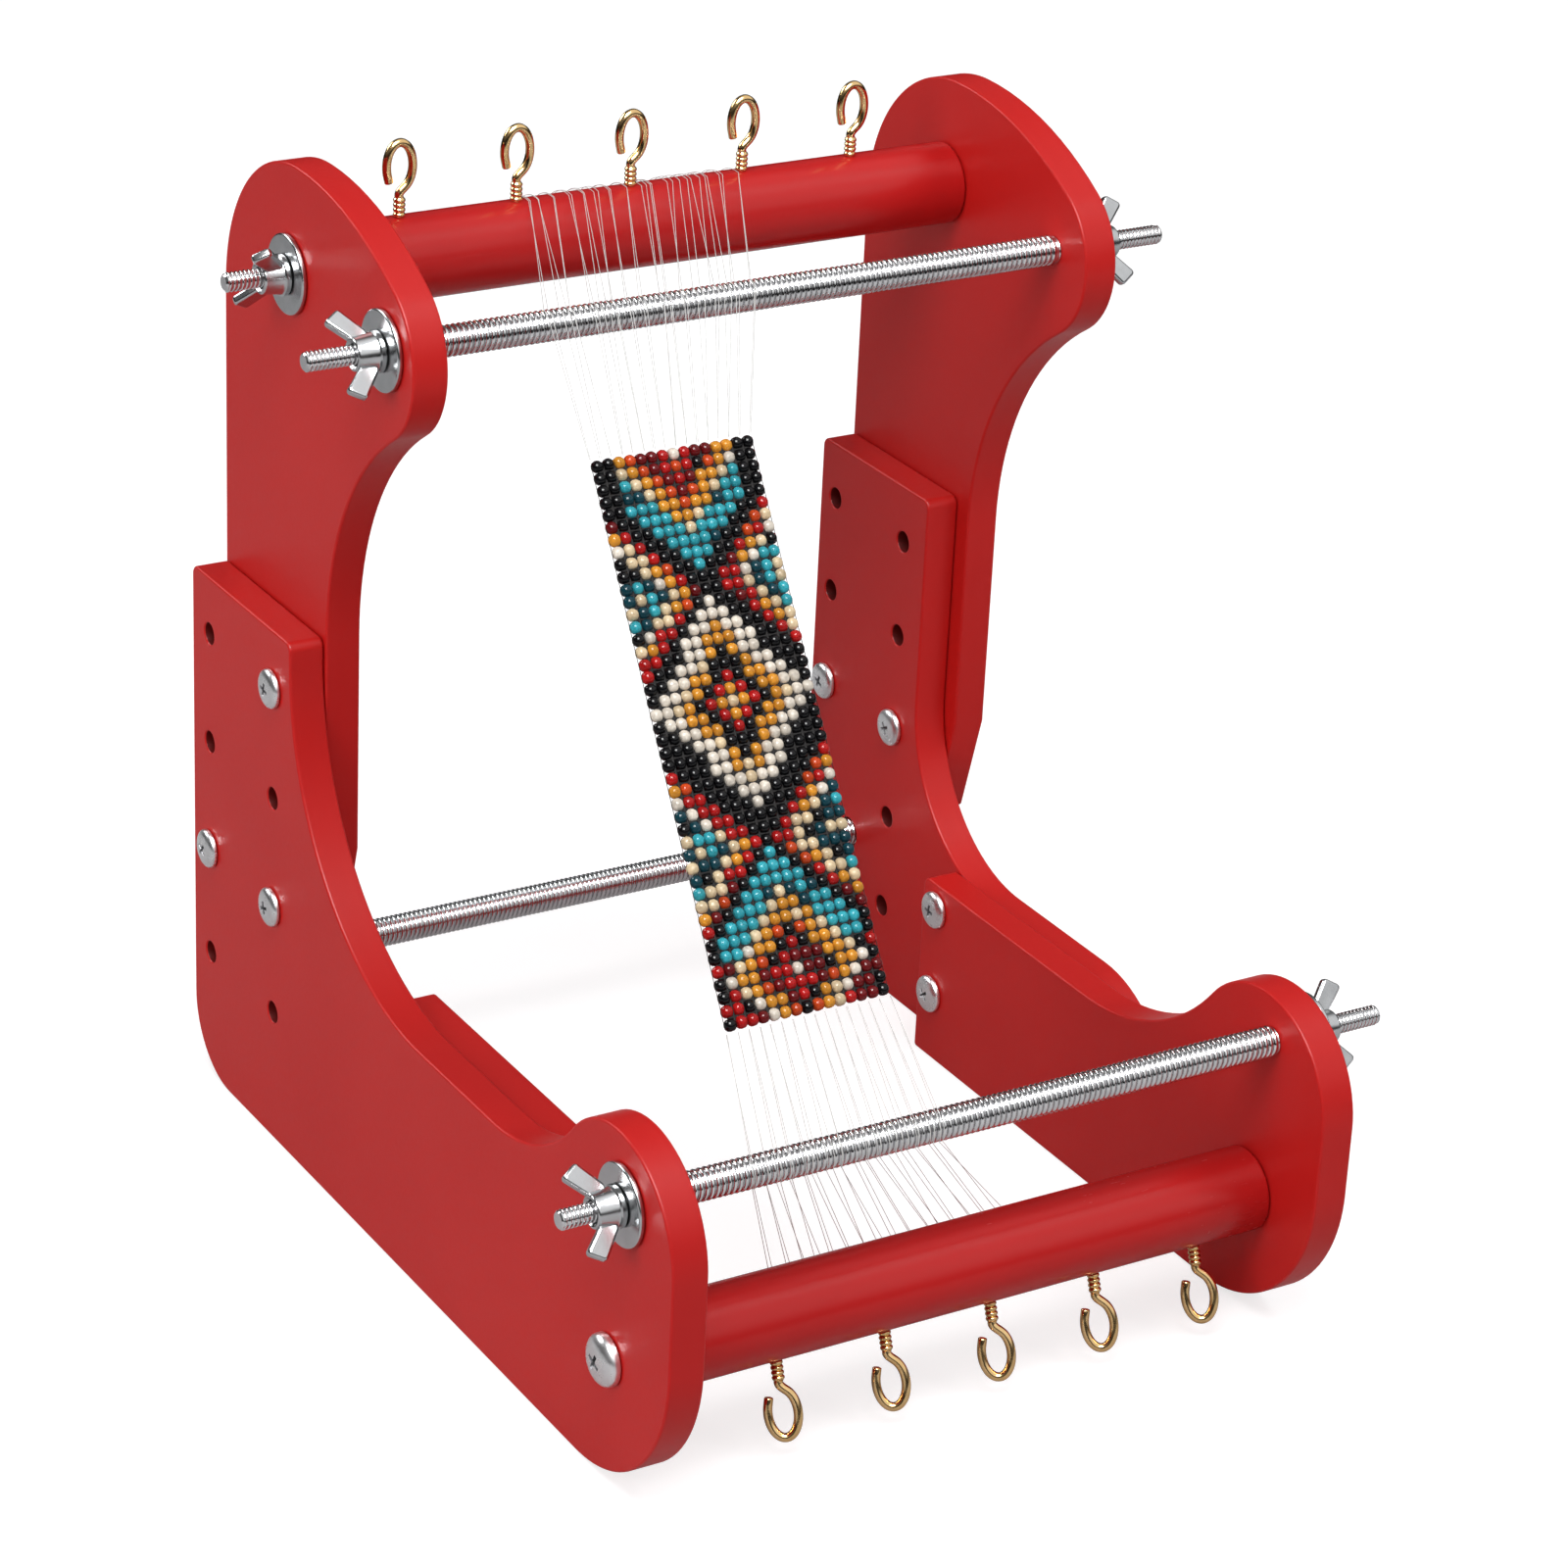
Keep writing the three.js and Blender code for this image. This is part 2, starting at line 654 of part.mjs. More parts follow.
function addDowels() {
  const upperStart = leftInnerX + boardThickness + seam;
  const upperEnd = rightArmX - seam;
  addDowel('upper', upperStart, upperEnd, upperDowel, hookXs(upperHookMiddle, upperHookSpacing), 0, 0);
  addDowelStud('upper_dowel_stud', upperStart, leftInnerX, upperDowel);
  addDowelScrew('upper_dowel_screw', 1, rightArmX + boardThickness, upperDowel);

  const lowerStart = leftBaseX + boardThickness + seam;
  const lowerEnd = footBoardX - seam;
  const pointing = Math.PI - degrees(lowerHookLean);
  const lowerHooks = hookXs(lowerHookMiddle, lowerHookSpacing);
  addDowel('lower', lowerStart, lowerEnd, lowerDowel, lowerHooks, pointing, degrees(lowerHookTwist));
  addDowelScrew('lower_dowel_screw_left', -1, leftBaseX, lowerDowel);
  addDowelScrew('lower_dowel_screw_right', 1, footBoardX + boardThickness, lowerDowel);
}

// Warp threads and beadwork

// The line that touches two circles. A negative radius puts the touch on the other side.
function touchLine(from, fromRadius, to, toRadius) {
  const along = to.clone().sub(from);
  const distance = along.length();
  along.divideScalar(distance);
  const lean = (fromRadius - toRadius) / distance;
  const normal = new THREE.Vector2(along.y, -along.x)
    .multiplyScalar(Math.sqrt(1 - lean ** 2)).addScaledVector(along, lean);
  const start = from.clone().addScaledVector(normal, fromRadius);
  const end = to.clone().addScaledVector(normal, toRadius);
  return { start, end, normal, angle: Math.atan2(normal.y, normal.x) };
}

// Points of a thread round a bar. They stand off far enough for its chords to clear the bar.
function roundBar(centre, radius, from, to, steps) {
  const step = (to - from) / steps;
  const standOff = radius / Math.cos(step / 2);
  return Array.from({ length: steps }, (_, i) => {
    const angle = from + step * (i + 0.5);
    return new THREE.Vector2(Math.cos(angle), Math.sin(angle)).multiplyScalar(standOff).add(centre);
  });
}

const warpOnRod = rodRadius + seam + warpRadius;
const warpOnDowel = dowelRadius + seam + warpRadius;
const upperRun = touchLine(upperDowel, warpOnDowel, upperRod, warpOnRod);
const mainRun = touchLine(upperRod, warpOnRod, lowerRod, warpOnRod);
const lowerRun = touchLine(lowerRod, warpOnRod, lowerDowel, -warpOnDowel);
const downWarp = mainRun.end.clone().sub(mainRun.start).normalize();
const weaveLength = beadRows * rowPitch;
const weaveSlant = (weaveMiddleBottom - weaveMiddleTop) / weaveLength;
const warpCount = beadColumns + 1;

// The threads round the lower dowel are spaced so that its hooks turn between them
const lowerDowelFanSpacing = lowerHookSpacing / fanSpacesPerHook;
const lowerDowelFanMiddle = lowerHookMiddle - lowerHookSpacing + 2 * lowerDowelFanSpacing;

function alongWarp(distance) {
  return mainRun.start.clone().addScaledVector(downWarp, distance);
}

function fanX(i, middle, spacing) {
  return middle + (i - (warpCount - 1) / 2) * spacing;
}

function at(x, yz) {
  return new THREE.Vector3(x, yz.x, yz.y);
}

// The threads of one end, joined by the last weft thread against the beadwork
function warpFan(threadPoints, weftPlace, weftMiddle) {
  const reference = new THREE.Vector3(1, 0, 0);
  const halfWidth = (beadColumns * columnPitch) / 2;
  const weft = wire(
    [at(weftMiddle - halfWidth - warpRadius, weftPlace), at(weftMiddle + halfWidth + warpRadius, weftPlace)],
    warpRadius * 1.3, 4, new THREE.Vector3(0, 1, 0));
  const threads = Array.from(
    { length: warpCount }, (_, i) => wire(threadPoints(i), warpRadius, 4, reference));
  return join([weft, ...threads]);
}

function addWarp() {
  const weftGap = seam + warpRadius * 1.3;
  const topPlace = alongWarp(weaveStart - weftGap);
  add('upper_warp_threads', warpFan((i) => {
    const dowelX = fanX(i, upperHookMiddle, upperDowelFanSpacing);
    const rodX = fanX(i, upperRodFanMiddle, upperRodFanSpacing);
    const weaveX = fanX(i, weaveMiddleTop, columnPitch);
    return [
      ...roundBar(upperDowel, warpOnDowel, degrees(upperWrapStart), upperRun.angle, 5)
        .map((place) => at(dowelX, place)),
      at(dowelX, upperRun.start),
      at(rodX, upperRun.end),
      ...roundBar(upperRod, warpOnRod, upperRun.angle, mainRun.angle, 1).map((place) => at(rodX, place)),
      at(rodX, mainRun.start),
      at(weaveX, topPlace),
    ];
  }, topPlace, weaveMiddleTop), thread);

  const bottomPlace = alongWarp(weaveStart + weaveLength + weftGap);
  const rearTouch = lowerRun.angle + Math.PI;
  add('lower_warp_threads', warpFan((i) => {
    const dowelX = fanX(i, lowerDowelFanMiddle, lowerDowelFanSpacing);
    const rodX = fanX(i, lowerRodFanMiddle, lowerRodFanSpacing);
    const weaveX = fanX(i, weaveMiddleBottom, columnPitch);
    return [
      at(weaveX, bottomPlace),
      at(rodX, mainRun.end),
      ...roundBar(lowerRod, warpOnRod, mainRun.angle, lowerRun.angle + 2 * Math.PI, 2)
        .map((place) => at(rodX, place)),
      at(rodX, lowerRun.start),
      at(dowelX, lowerRun.end),
      ...roundBar(lowerDowel, warpOnDowel, rearTouch, degrees(lowerWrapEnd), 4)
        .map((place) => at(dowelX, place)),
    ];
  }, bottomPlace, weaveMiddleBottom), thread);
}

// A flat strip with a round ridge for each row of beads
function addBeadwork() {
  const outline = [];
  const valley = beadRadius - rowGroove;
  for (const side of [1, -1]) {
    for (let row = 0; row < beadRows; row++) {
      const places = [0, 0.25, 0.75].map((share) => (row + share) * rowPitch);
      const heights = [valley, beadRadius, beadRadius];
      places.forEach((along, k) => {
        outline.push(new THREE.Vector2(side > 0 ? along : weaveLength - along, side * heights[k]));
      });
    }
    outline.push(new THREE.Vector2(side > 0 ? weaveLength : 0, side * valley));
  }
  const stripWidth = beadColumns * columnPitch;
  const form = new THREE.ExtrudeGeometry(
    new THREE.Shape(outline.reverse()), { depth: stripWidth, bevelEnabled: false });
  form.translate(0, 0, -stripWidth / 2);
  form.applyMatrix4(new THREE.Matrix4().makeBasis(
    new THREE.Vector3(weaveSlant, downWarp.x, downWarp.y),
    at(0, mainRun.normal),
    new THREE.Vector3(-1, 0, 0)));
  add('beadwork_strip', form, beads, weaveMiddleTop, alongWarp(weaveStart));
}

addBoards();
addRods();
addWingNuts();
addScrews();
addDowels();
addWarp();
addBeadwork();

// The stud ends reach further on the right, so the frame moves to bring the whole to the middle
const model = new THREE.Group();
loom.position.x = -(leftEnd + rightEnd) / 2;
model.add(loom);

export default model;
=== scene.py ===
# A standing bead loom: two built-up red sides, two dowels with brass hooks, three
# threaded rods with wing nuts, and a strip of beadwork on its warp threads.
# X runs along the dowels, Y to the back, Z up. Sizes are in millimetres, and every
# piece is brought to metres when its mesh is made.

import json
import math
import random

import bpy
from mathutils import Matrix, Vector
from mathutils.geometry import tessellate_polygon

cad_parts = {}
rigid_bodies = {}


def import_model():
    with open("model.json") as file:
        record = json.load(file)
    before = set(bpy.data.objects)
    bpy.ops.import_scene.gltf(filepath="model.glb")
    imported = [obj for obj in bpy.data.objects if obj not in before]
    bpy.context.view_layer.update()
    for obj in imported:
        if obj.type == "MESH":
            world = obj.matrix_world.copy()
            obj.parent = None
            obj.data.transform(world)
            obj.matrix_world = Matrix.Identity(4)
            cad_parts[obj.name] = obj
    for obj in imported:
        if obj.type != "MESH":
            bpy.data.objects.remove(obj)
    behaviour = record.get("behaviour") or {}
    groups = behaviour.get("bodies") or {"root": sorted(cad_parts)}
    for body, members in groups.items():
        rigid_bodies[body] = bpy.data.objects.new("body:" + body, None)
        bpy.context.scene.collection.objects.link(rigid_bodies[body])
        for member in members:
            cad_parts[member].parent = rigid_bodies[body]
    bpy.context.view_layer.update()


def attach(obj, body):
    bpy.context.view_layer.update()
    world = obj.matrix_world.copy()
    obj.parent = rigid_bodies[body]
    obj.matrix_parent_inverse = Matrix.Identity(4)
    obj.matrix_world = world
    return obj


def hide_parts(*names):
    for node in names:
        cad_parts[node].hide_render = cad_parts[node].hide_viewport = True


for thing in list(bpy.data.objects):
    bpy.data.objects.remove(thing)

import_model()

MM = 0.001

# Sizes, in mm

SEAM = 0.3
BORE_CLEARANCE = 0.3

BOARD = 11.0
INNER_WIDTH = 201.0
DEPTH = 303.5
EDGE_RADIUS = 3.0
HEEL_RADIUS = 25.0
TOE_RADIUS = 50.0
NOSE_RADIUS = 32.0

LEFT_TOP, LEFT_POST, LEFT_THROAT = 170.0, 69.0, 86.0
LEFT_FOOT_TOP, LEFT_NOSE, LEFT_SADDLE = 77.0, 78.0, 60.0
RIGHT_TOP, RIGHT_POST, RIGHT_THROAT = 177.0, 64.0, 50.0
RIGHT_FOOT_TOP, RIGHT_REACH, RIGHT_TIP = 58.0, 203.0, 40.0
FOOT_BOARD_TOP, FOOT_BOARD_NOSE, FOOT_BOARD_SADDLE = 61.0, 71.5, 80.0
FOOT_BOARD_LENGTH = 211.5
DOUBLER_TOP, DOUBLER_BACK, DOUBLER_FRONT, DOUBLER_TIP = 75.5, 120.0, 60.5, 22.0

ARM_TOP, ARM_BOTTOM = 308.0, 66.0
ARM_WAIST, ARM_WAIST_HEIGHT = 70.0, 170.0
ARM_CROWN, ARM_DISC = 118.0, 25.5
DISC_BEHIND_ROD, DISC_BELOW_ROD = 8.0, 3.5
TAIL_CUT_HEIGHT, TAIL_CUT_DEPTH = 34.0, 9.0

HOLE_RADIUS, HOLE_TOP_MARGIN = 3.5, 18.5
LEFT_ROWS, LEFT_PITCH, LEFT_INSET, LEFT_COLUMNS = 4, 36.0, 12.0, 45.0
RIGHT_ROWS, RIGHT_PITCH, RIGHT_INSET, RIGHT_COLUMNS = 5, 32.3, 9.0, 41.5

ROD_RADIUS, STUD_RADIUS = 4.7, 3.0
UPPER_STUD_LEFT, UPPER_STUD_RIGHT = 25.0, 27.0
LOWER_STUD_LEFT, LOWER_STUD_RIGHT = 20.0, 26.0
REAR_SOCKET = 7.0
UPPER_ROD_FORWARD, UPPER_ROD_DROP = 106.5, 36.0
LOWER_ROD_SETBACK, LOWER_ROD_HEIGHT = 27.0, 90.0
REAR_ROD_FORWARD, REAR_ROD_HEIGHT = 28.0, 46.5
UPPER_DOWEL_FORWARD, UPPER_DOWEL_DROP = 45.0, 33.0
LOWER_DOWEL_SETBACK, LOWER_DOWEL_HEIGHT = 32.5, 39.0
DOWEL_RADIUS, DOWEL_STUD_REACH, END_BORE = 12.7, 21.0, 26.0

WASHER_RADIUS, WASHER_THICKNESS = 12.0, 1.6
NUT_BASE, NUT_TOP, NUT_FLANGE, NUT_HEIGHT = 6.2, 4.8, 1.5, 8.0
WING_THICKNESS = 2.8
WING_OUTLINE = [(4.3, 1.6), (6.6, 2.2), (14.0, 8.2), (10.6, 13.4), (4.3, 7.4)]

BIG_HEAD, BIG_HEAD_HEIGHT = 7.7, 4.6
HEAD, HEAD_HEIGHT, SHANK, BITE, PILOT_SPARE = 6.1, 2.7, 2.5, 8.5, 0.5
PAIR_SPACING, FOOT_SCREW_INSET, FOOT_SCREW_MARGIN = 30.0, 8.0, 8.5

HOOK_WIRE, HOOK_SCREW = 1.34, 8.0
COLLAR_HEIGHT, COLLAR_RADIUS, COLLAR_GROOVE, COLLAR_RIDGES = 5.8, 1.85, 1.4, 4
RING_WIDE, RING_TALL, RING_HEIGHT = 4.2, 7.0, 15.3
NECK_ANGLE, TIP_ANGLE = -60.0, 205.0
TIP_STRAIGHT = 1.6
HOOKS = 5
HOOK_CLEARANCE = 2.45
UPPER_HOOK_SPACING, UPPER_HOOK_MIDDLE = 38.3, -0.2
LOWER_HOOK_SPACING, LOWER_HOOK_MIDDLE = 35.2, -1.8
LOWER_HOOK_LEAN, LOWER_HOOK_TWIST = 20.0, 32.0

WARP_SPACE = 0.55  # from a bar's surface to the middle of a thread
BEAD_COLUMNS, BEAD_ROWS = 15, 45
COLUMN_PITCH, ROW_PITCH = 3.47, 3.72
BEAD_RADIUS, BEAD_LENGTH = 1.86, 3.45
WEAVE_START, WEAVE_TOP, WEAVE_BOTTOM = 44.0, -38.1, -54.5
UPPER_DOWEL_FAN, UPPER_ROD_FAN, UPPER_ROD_MIDDLE = 4.7, 4.4, -28.1
LOWER_ROD_FAN, LOWER_ROD_MIDDLE = 4.05, -55.8
THREAD_RADIUS = 0.10
GAP_SHADE_RADIUS = 0.5  # dark weft and warp strands, thick enough to fill the gaps between beads with painted shade

# The rods' threads, the eased edges, and how fine the meshes are, in mm
BOARD_EASE, CORNER_ROUND, HOLE_EASE = 0.7, 1.2, 0.4
ROD_CORE, ROD_CREST, ROD_PITCH, ROD_STEPS = 3.9, 0.8, 1.75, 22
STUD_CORE, STUD_CREST, STUD_PITCH, STUD_STEPS = 2.55, 0.45, 1.3, 18
REAR_PITCH, REAR_STEPS = 1.6, 20
ROD_RUN_OUT, TIP_RUN_OUT, SHOULDER_RUN_OUT, DOWEL_STUD_RUN_OUT = 0.8, 0.75, 0.5, 0.9
CREST_SIDES, STRAND_SIDES = 6, 6
ROD_SIDES, NUT_SIDES, WASHER_SIDES, HEAD_SIDES = 32, 48, 64, 48
DOWEL_SIDES, WIRE_SIDES, COLLAR_SIDES = 96, 14, 24
NECK_STEPS, RING_STEPS, RIDGE_STEPS = 12, 40, 8
SMALL_HOLE_SIDES, HOLE_SIDES, SMALL_HOLE = 24, 32, 4.0  # SMALL_HOLE is a radius in mm
ARC_STEPS = ((40, 3.0), (10, 5.0), (0, 12.0))  # above each radius in mm, a step in degrees
CREASE, WIRE_CREASE = 35, 40  # degrees
FLAT_SHARE = 0.3  # the flat that is kept beside a rounded corner, as a share of its radius
SHARP_TURN = 20  # degrees; an outline's corner that turns less is left as it is

# How unevenly the hand-laid threads and beads lie, in mm
UPPER_DOWEL_SWAY, UPPER_ROD_SWAY, LOWER_DOWEL_SWAY, LOWER_ROD_SWAY = 1.9, 1.7, 1.5, 1.5
WEAVE_SWAY, STRAND_LIFT = 0.3, 0.12
STRANDS_PER_THREAD = 2
WRAP_START, WRAP_END = (-24, -14), -100  # degrees round the dowels where the threads end
THREADS_PER_HOOK = 7
WEAVE_GAP = 0.5
ROW_SWAY, BEAD_SWAY, BEAD_DRIFT, BEAD_LIFT = 0.12, 0.06, 0.10, (-0.08, 0.05)

# The beads' mesh, how much they vary, and how far the hidden threads end inside, in mm
BEAD_SIDES, BEAD_RINGS, BEAD_ROUNDNESS, RING_CROWDING = 10, 6, 2.35, 1.32
BEAD_SIZE_SPREAD, BEAD_LEAN_SPREAD, BEAD_SEED = 0.04, 0.07, 7
BEAD_LIGHT = (0.82, 1.12)
WARP_INSET, WEFT_INSET = 1.2, 1.6

# Places that follow from the sizes
FRONT, BACK = -DEPTH / 2, DEPTH / 2
HALF_WIDTH = (4 * BOARD + INNER_WIDTH + 2 * SEAM) / 2
LEFT_BASE_X = -HALF_WIDTH
LEFT_INNER_X = LEFT_BASE_X + BOARD + SEAM
FOOT_BOARD_X = LEFT_BASE_X + BOARD + INNER_WIDTH
RIGHT_PANEL_X = FOOT_BOARD_X + BOARD + SEAM
RIGHT_ARM_X = RIGHT_PANEL_X + BOARD + SEAM
LEFT_END = min(LEFT_INNER_X - UPPER_STUD_LEFT, LEFT_BASE_X - LOWER_STUD_LEFT)
RIGHT_END = max(HALF_WIDTH + UPPER_STUD_RIGHT, FOOT_BOARD_X + BOARD + LOWER_STUD_RIGHT)
SHIFT = -(LEFT_END + RIGHT_END) / 2  # brings the whole loom to the middle

# The axes of the rods and dowels, in Y and Z
UPPER_ROD = (BACK - UPPER_ROD_FORWARD, ARM_TOP - UPPER_ROD_DROP)
LOWER_ROD = (FRONT + LOWER_ROD_SETBACK, LOWER_ROD_HEIGHT)
REAR_ROD = (BACK - REAR_ROD_FORWARD, REAR_ROD_HEIGHT)
UPPER_DOWEL = (BACK - UPPER_DOWEL_FORWARD, ARM_TOP - UPPER_DOWEL_DROP)
LOWER_DOWEL = (FRONT + LOWER_DOWEL_SETBACK, LOWER_DOWEL_HEIGHT)

STUD_BORE = STUD_RADIUS + BORE_CLEARANCE
SOCKET_BORE = ROD_RADIUS + BORE_CLEARANCE
PILOT = SHANK + BORE_CLEARANCE
PILOT_DEPTH = BITE + SEAM + PILOT_SPARE


# Forms

class Form:
    """Corners and faces of a piece while it is being made, in mm. Each face has the
    number of its finish and says whether it is smooth."""

    def __init__(self):
        self.corners = []
        self.faces = []
        self.finishes = []
        self.smooth = []

    def add(self, corners, faces, finish=0, smooth=True):
        first = len(self.corners)
        self.corners.extend(tuple(c) for c in corners)
        for face in faces:
            self.faces.append([first + i for i in face])
            self.finishes.append(finish)
            self.smooth.append(smooth)

    def join(self, other, place):
        """Adds another form, moved to its place."""
        first = len(self.corners)
        self.corners.extend(tuple(place @ Vector(c)) for c in other.corners)
        self.faces.extend([first + i for i in face] for face in other.faces)
        self.finishes.extend(other.finishes)
        self.smooth.extend(other.smooth)
        return self


def in_metres(x, y, z):
    return (x + SHIFT) * MM, y * MM, z * MM


def make_piece(name, form, place, finishes, body, replaced, crease=None):
    """A finished piece: its mesh in metres, its finishes, and the body it rides on."""
    form = Form().join(form, place)
    mesh = bpy.data.meshes.new(name)
    mesh.from_pydata([in_metres(*c) for c in form.corners], [], form.faces)
    mesh.polygons.foreach_set("use_smooth", form.smooth)
    mesh.polygons.foreach_set("material_index", form.finishes)
    for coat in finishes:
        mesh.materials.append(coat)
    if crease:
        mesh.set_sharp_from_angle(angle=math.radians(crease))
    mesh.update()
    settle(mesh, name, body, replaced)


def settle(mesh, name, body, replaced):
    """Puts a finished mesh in the scene, and says what it rides on and replaces."""
    piece = bpy.data.objects.new(name, mesh)
    bpy.context.scene.collection.objects.link(piece)
    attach(piece, body)
    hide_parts(replaced)


def loft(form, rings, closed_ends=True, finish=0, smooth=True):
    """Joins rings of corners, each with the same count, from the first to the last."""
    count = len(rings[0])
    corners = [c for ring in rings for c in ring]
    faces = []
    for r in range(len(rings) - 1):
        for k in range(count):
            n = (k + 1) % count
            faces.append((r * count + k, r * count + n, (r + 1) * count + n, (r + 1) * count + k))
    form.add(corners, faces, finish, smooth)
    if closed_ends:
        form.add(rings[0], [list(range(count))[::-1]], finish, False)
        form.add(rings[-1], [list(range(count))], finish, False)


def turned(profile, sides):
    """A turned form about X. The profile is a list of (distance along X, radius)."""
    corners, faces, rings = [], [], []
    for x, r in profile:
        if r < 1e-6:
            rings.append([len(corners)])
            corners.append((x, 0, 0))
            continue
        rings.append(list(range(len(corners), len(corners) + sides)))
        for k in range(sides):
            a = 2 * math.pi * k / sides
            corners.append((x, r * math.cos(a), r * math.sin(a)))
    for low, high in zip(rings, rings[1:]):
        for k in range(sides):
            n = (k + 1) % sides
            if len(low) == 1 and len(high) == 1:
                continue
            if len(low) == 1:
                faces.append((low[0], high[k], high[n]))
            elif len(high) == 1:
                faces.append((low[k], high[0], low[n]))
            else:
                faces.append((low[k], high[k], high[n], low[n]))
    form = Form()
    form.add(corners, [face[::-1] for face in faces])
    return form


def rounded(x0, r0, x1, r1, x2, r2, radius, steps=4):
    """Points of a turned profile that goes from point 0 towards point 1 and on to
    point 2, with the corner at point 1 rounded, and a short flat kept beside it."""
    a = Vector((x0 - x1, r0 - r1)).normalized()
    b = Vector((x2 - x1, r2 - r1)).normalized()
    half = math.acos(max(-1, min(1, a.dot(b)))) / 2
    reach = radius / math.tan(half)
    centre = Vector((x1, r1)) + (a + b).normalized() * (radius / math.sin(half))
    start = Vector((x1, r1)) + a * reach
    end = Vector((x1, r1)) + b * reach
    points = [tuple(start + a * radius * FLAT_SHARE)]
    turn = (start - centre).angle_signed(end - centre)
    for i in range(steps + 1):
        arm = (start - centre).copy()
        arm.rotate(Matrix.Rotation(-turn * i / steps, 2))
        points.append(tuple(centre + arm))
    points.append(tuple(end + b * radius * FLAT_SHARE))
    return points


def tube(points, radius, sides, toward=Vector((0, 1, 0))):
    """A round wire along points. The edge of its last end is eased."""
    points = [Vector(p) for p in points]
    radii = [radius] * len(points)
    end, along = points[-1], (points[-1] - points[-2]).normalized()
    for reach, share in ((0.12, 0.97), (0.22, 0.88), (0.28, 0.74)):
        points.append(end + along * radius * reach)
        radii.append(radius * share)
    rings = []
    for i, point in enumerate(points):
        along = (points[min(i + 1, len(points) - 1)] - points[max(i - 1, 0)]).normalized()
        across = (toward - along * toward.dot(along)).normalized()
        up = along.cross(across)
        rings.append([point + across * radii[i] * math.cos(2 * math.pi * k / sides)
                      + up * radii[i] * math.sin(2 * math.pi * k / sides) for k in range(sides)])
    form = Form()
    loft(form, rings)
    return form


# Outlines of the boards

class Outline:
    """A closed outline in Y and Z, with its holes."""

    def __init__(self, y, z):
        self.points = [(y, z)]
        self.holes = []

    def line(self, y, z):
        self._append(y, z)
        return self

    def _append(self, y, z):
        last = self.points[-1]
        if abs(last[0] - y) + abs(last[1] - z) > 1e-4:
            self.points.append((y, z))

    def arc(self, y, z, radius, start, end):
        """An arc about (y, z). It runs backwards where end is less than start."""
        step = math.radians(next(degrees for above, degrees in ARC_STEPS if radius > above))
        steps = max(2, math.ceil(abs(end - start) / step))
        for i in range(steps + 1):
            a = start + (end - start) * i / steps
            self._append(y + radius * math.cos(a), z + radius * math.sin(a))
        return self

    def drill(self, places, radius, low=None, high=None):
        """Holes of one size. low or high is their depth from that face where they don't
        go through."""
        self.holes += [(place, radius, low, high) for place in places]
        return self


def add_post(outline, top, post, throat, foot_top):
    front = BACK - post
    outline.arc(BACK - HEEL_RADIUS, HEEL_RADIUS, HEEL_RADIUS, -math.pi / 2, 0)
    outline.arc(BACK - EDGE_RADIUS, top - EDGE_RADIUS, EDGE_RADIUS, 0, math.pi / 2)
    outline.arc(front + EDGE_RADIUS, top - EDGE_RADIUS, EDGE_RADIUS, math.pi / 2, math.pi)
    outline.arc(front - throat, foot_top + throat, throat, 0, -math.pi / 2)


def add_nose(outline, foot_top, nose_height, saddle):
    nose_y = FRONT + NOSE_RADIUS
    saddle_z = foot_top + saddle
    reach = NOSE_RADIUS + saddle
    saddle_y = nose_y + math.sqrt(reach ** 2 - (saddle_z - nose_height) ** 2)
    towards = math.atan2(nose_height - saddle_z, nose_y - saddle_y)
    outline.arc(saddle_y, saddle_z, saddle, -math.pi / 2, towards)
    outline.arc(nose_y, nose_height, NOSE_RADIUS, towards + math.pi, math.pi)
    outline.arc(FRONT + TOE_RADIUS, TOE_RADIUS, TOE_RADIUS, math.pi, 1.5 * math.pi)


def left_base_outline():
    outline = Outline(FRONT + TOE_RADIUS, 0)
    add_post(outline, LEFT_TOP, LEFT_POST, LEFT_THROAT, LEFT_FOOT_TOP)
    add_nose(outline, LEFT_FOOT_TOP, LEFT_NOSE, LEFT_SADDLE)
    return outline


def right_panel_outline():
    end = BACK - RIGHT_REACH
    outline = Outline(end, 0).line(BACK - HEEL_RADIUS, 0)
    add_post(outline, RIGHT_TOP, RIGHT_POST, RIGHT_THROAT, RIGHT_FOOT_TOP)
    outline.arc(end + RIGHT_TIP, RIGHT_FOOT_TOP - RIGHT_TIP, RIGHT_TIP, math.pi / 2, math.pi)
    return outline


def foot_board_outline():
    rear = FRONT + FOOT_BOARD_LENGTH
    outline = Outline(FRONT + TOE_RADIUS, 0).line(rear, 0)
    outline.arc(rear - EDGE_RADIUS, FOOT_BOARD_TOP - EDGE_RADIUS, EDGE_RADIUS, 0, math.pi / 2)
    add_nose(outline, FOOT_BOARD_TOP, FOOT_BOARD_NOSE, FOOT_BOARD_SADDLE)
    return outline


def doubler_outline():
    rear, end = BACK - DOUBLER_BACK, FRONT + DOUBLER_FRONT
    outline = Outline(end, 0).line(rear, 0)
    outline.arc(rear - EDGE_RADIUS, DOUBLER_TOP - EDGE_RADIUS, EDGE_RADIUS, 0, math.pi / 2)
    outline.arc(end + DOUBLER_TIP, DOUBLER_TOP - DOUBLER_TIP, DOUBLER_TIP, math.pi / 2, math.pi)
    return outline


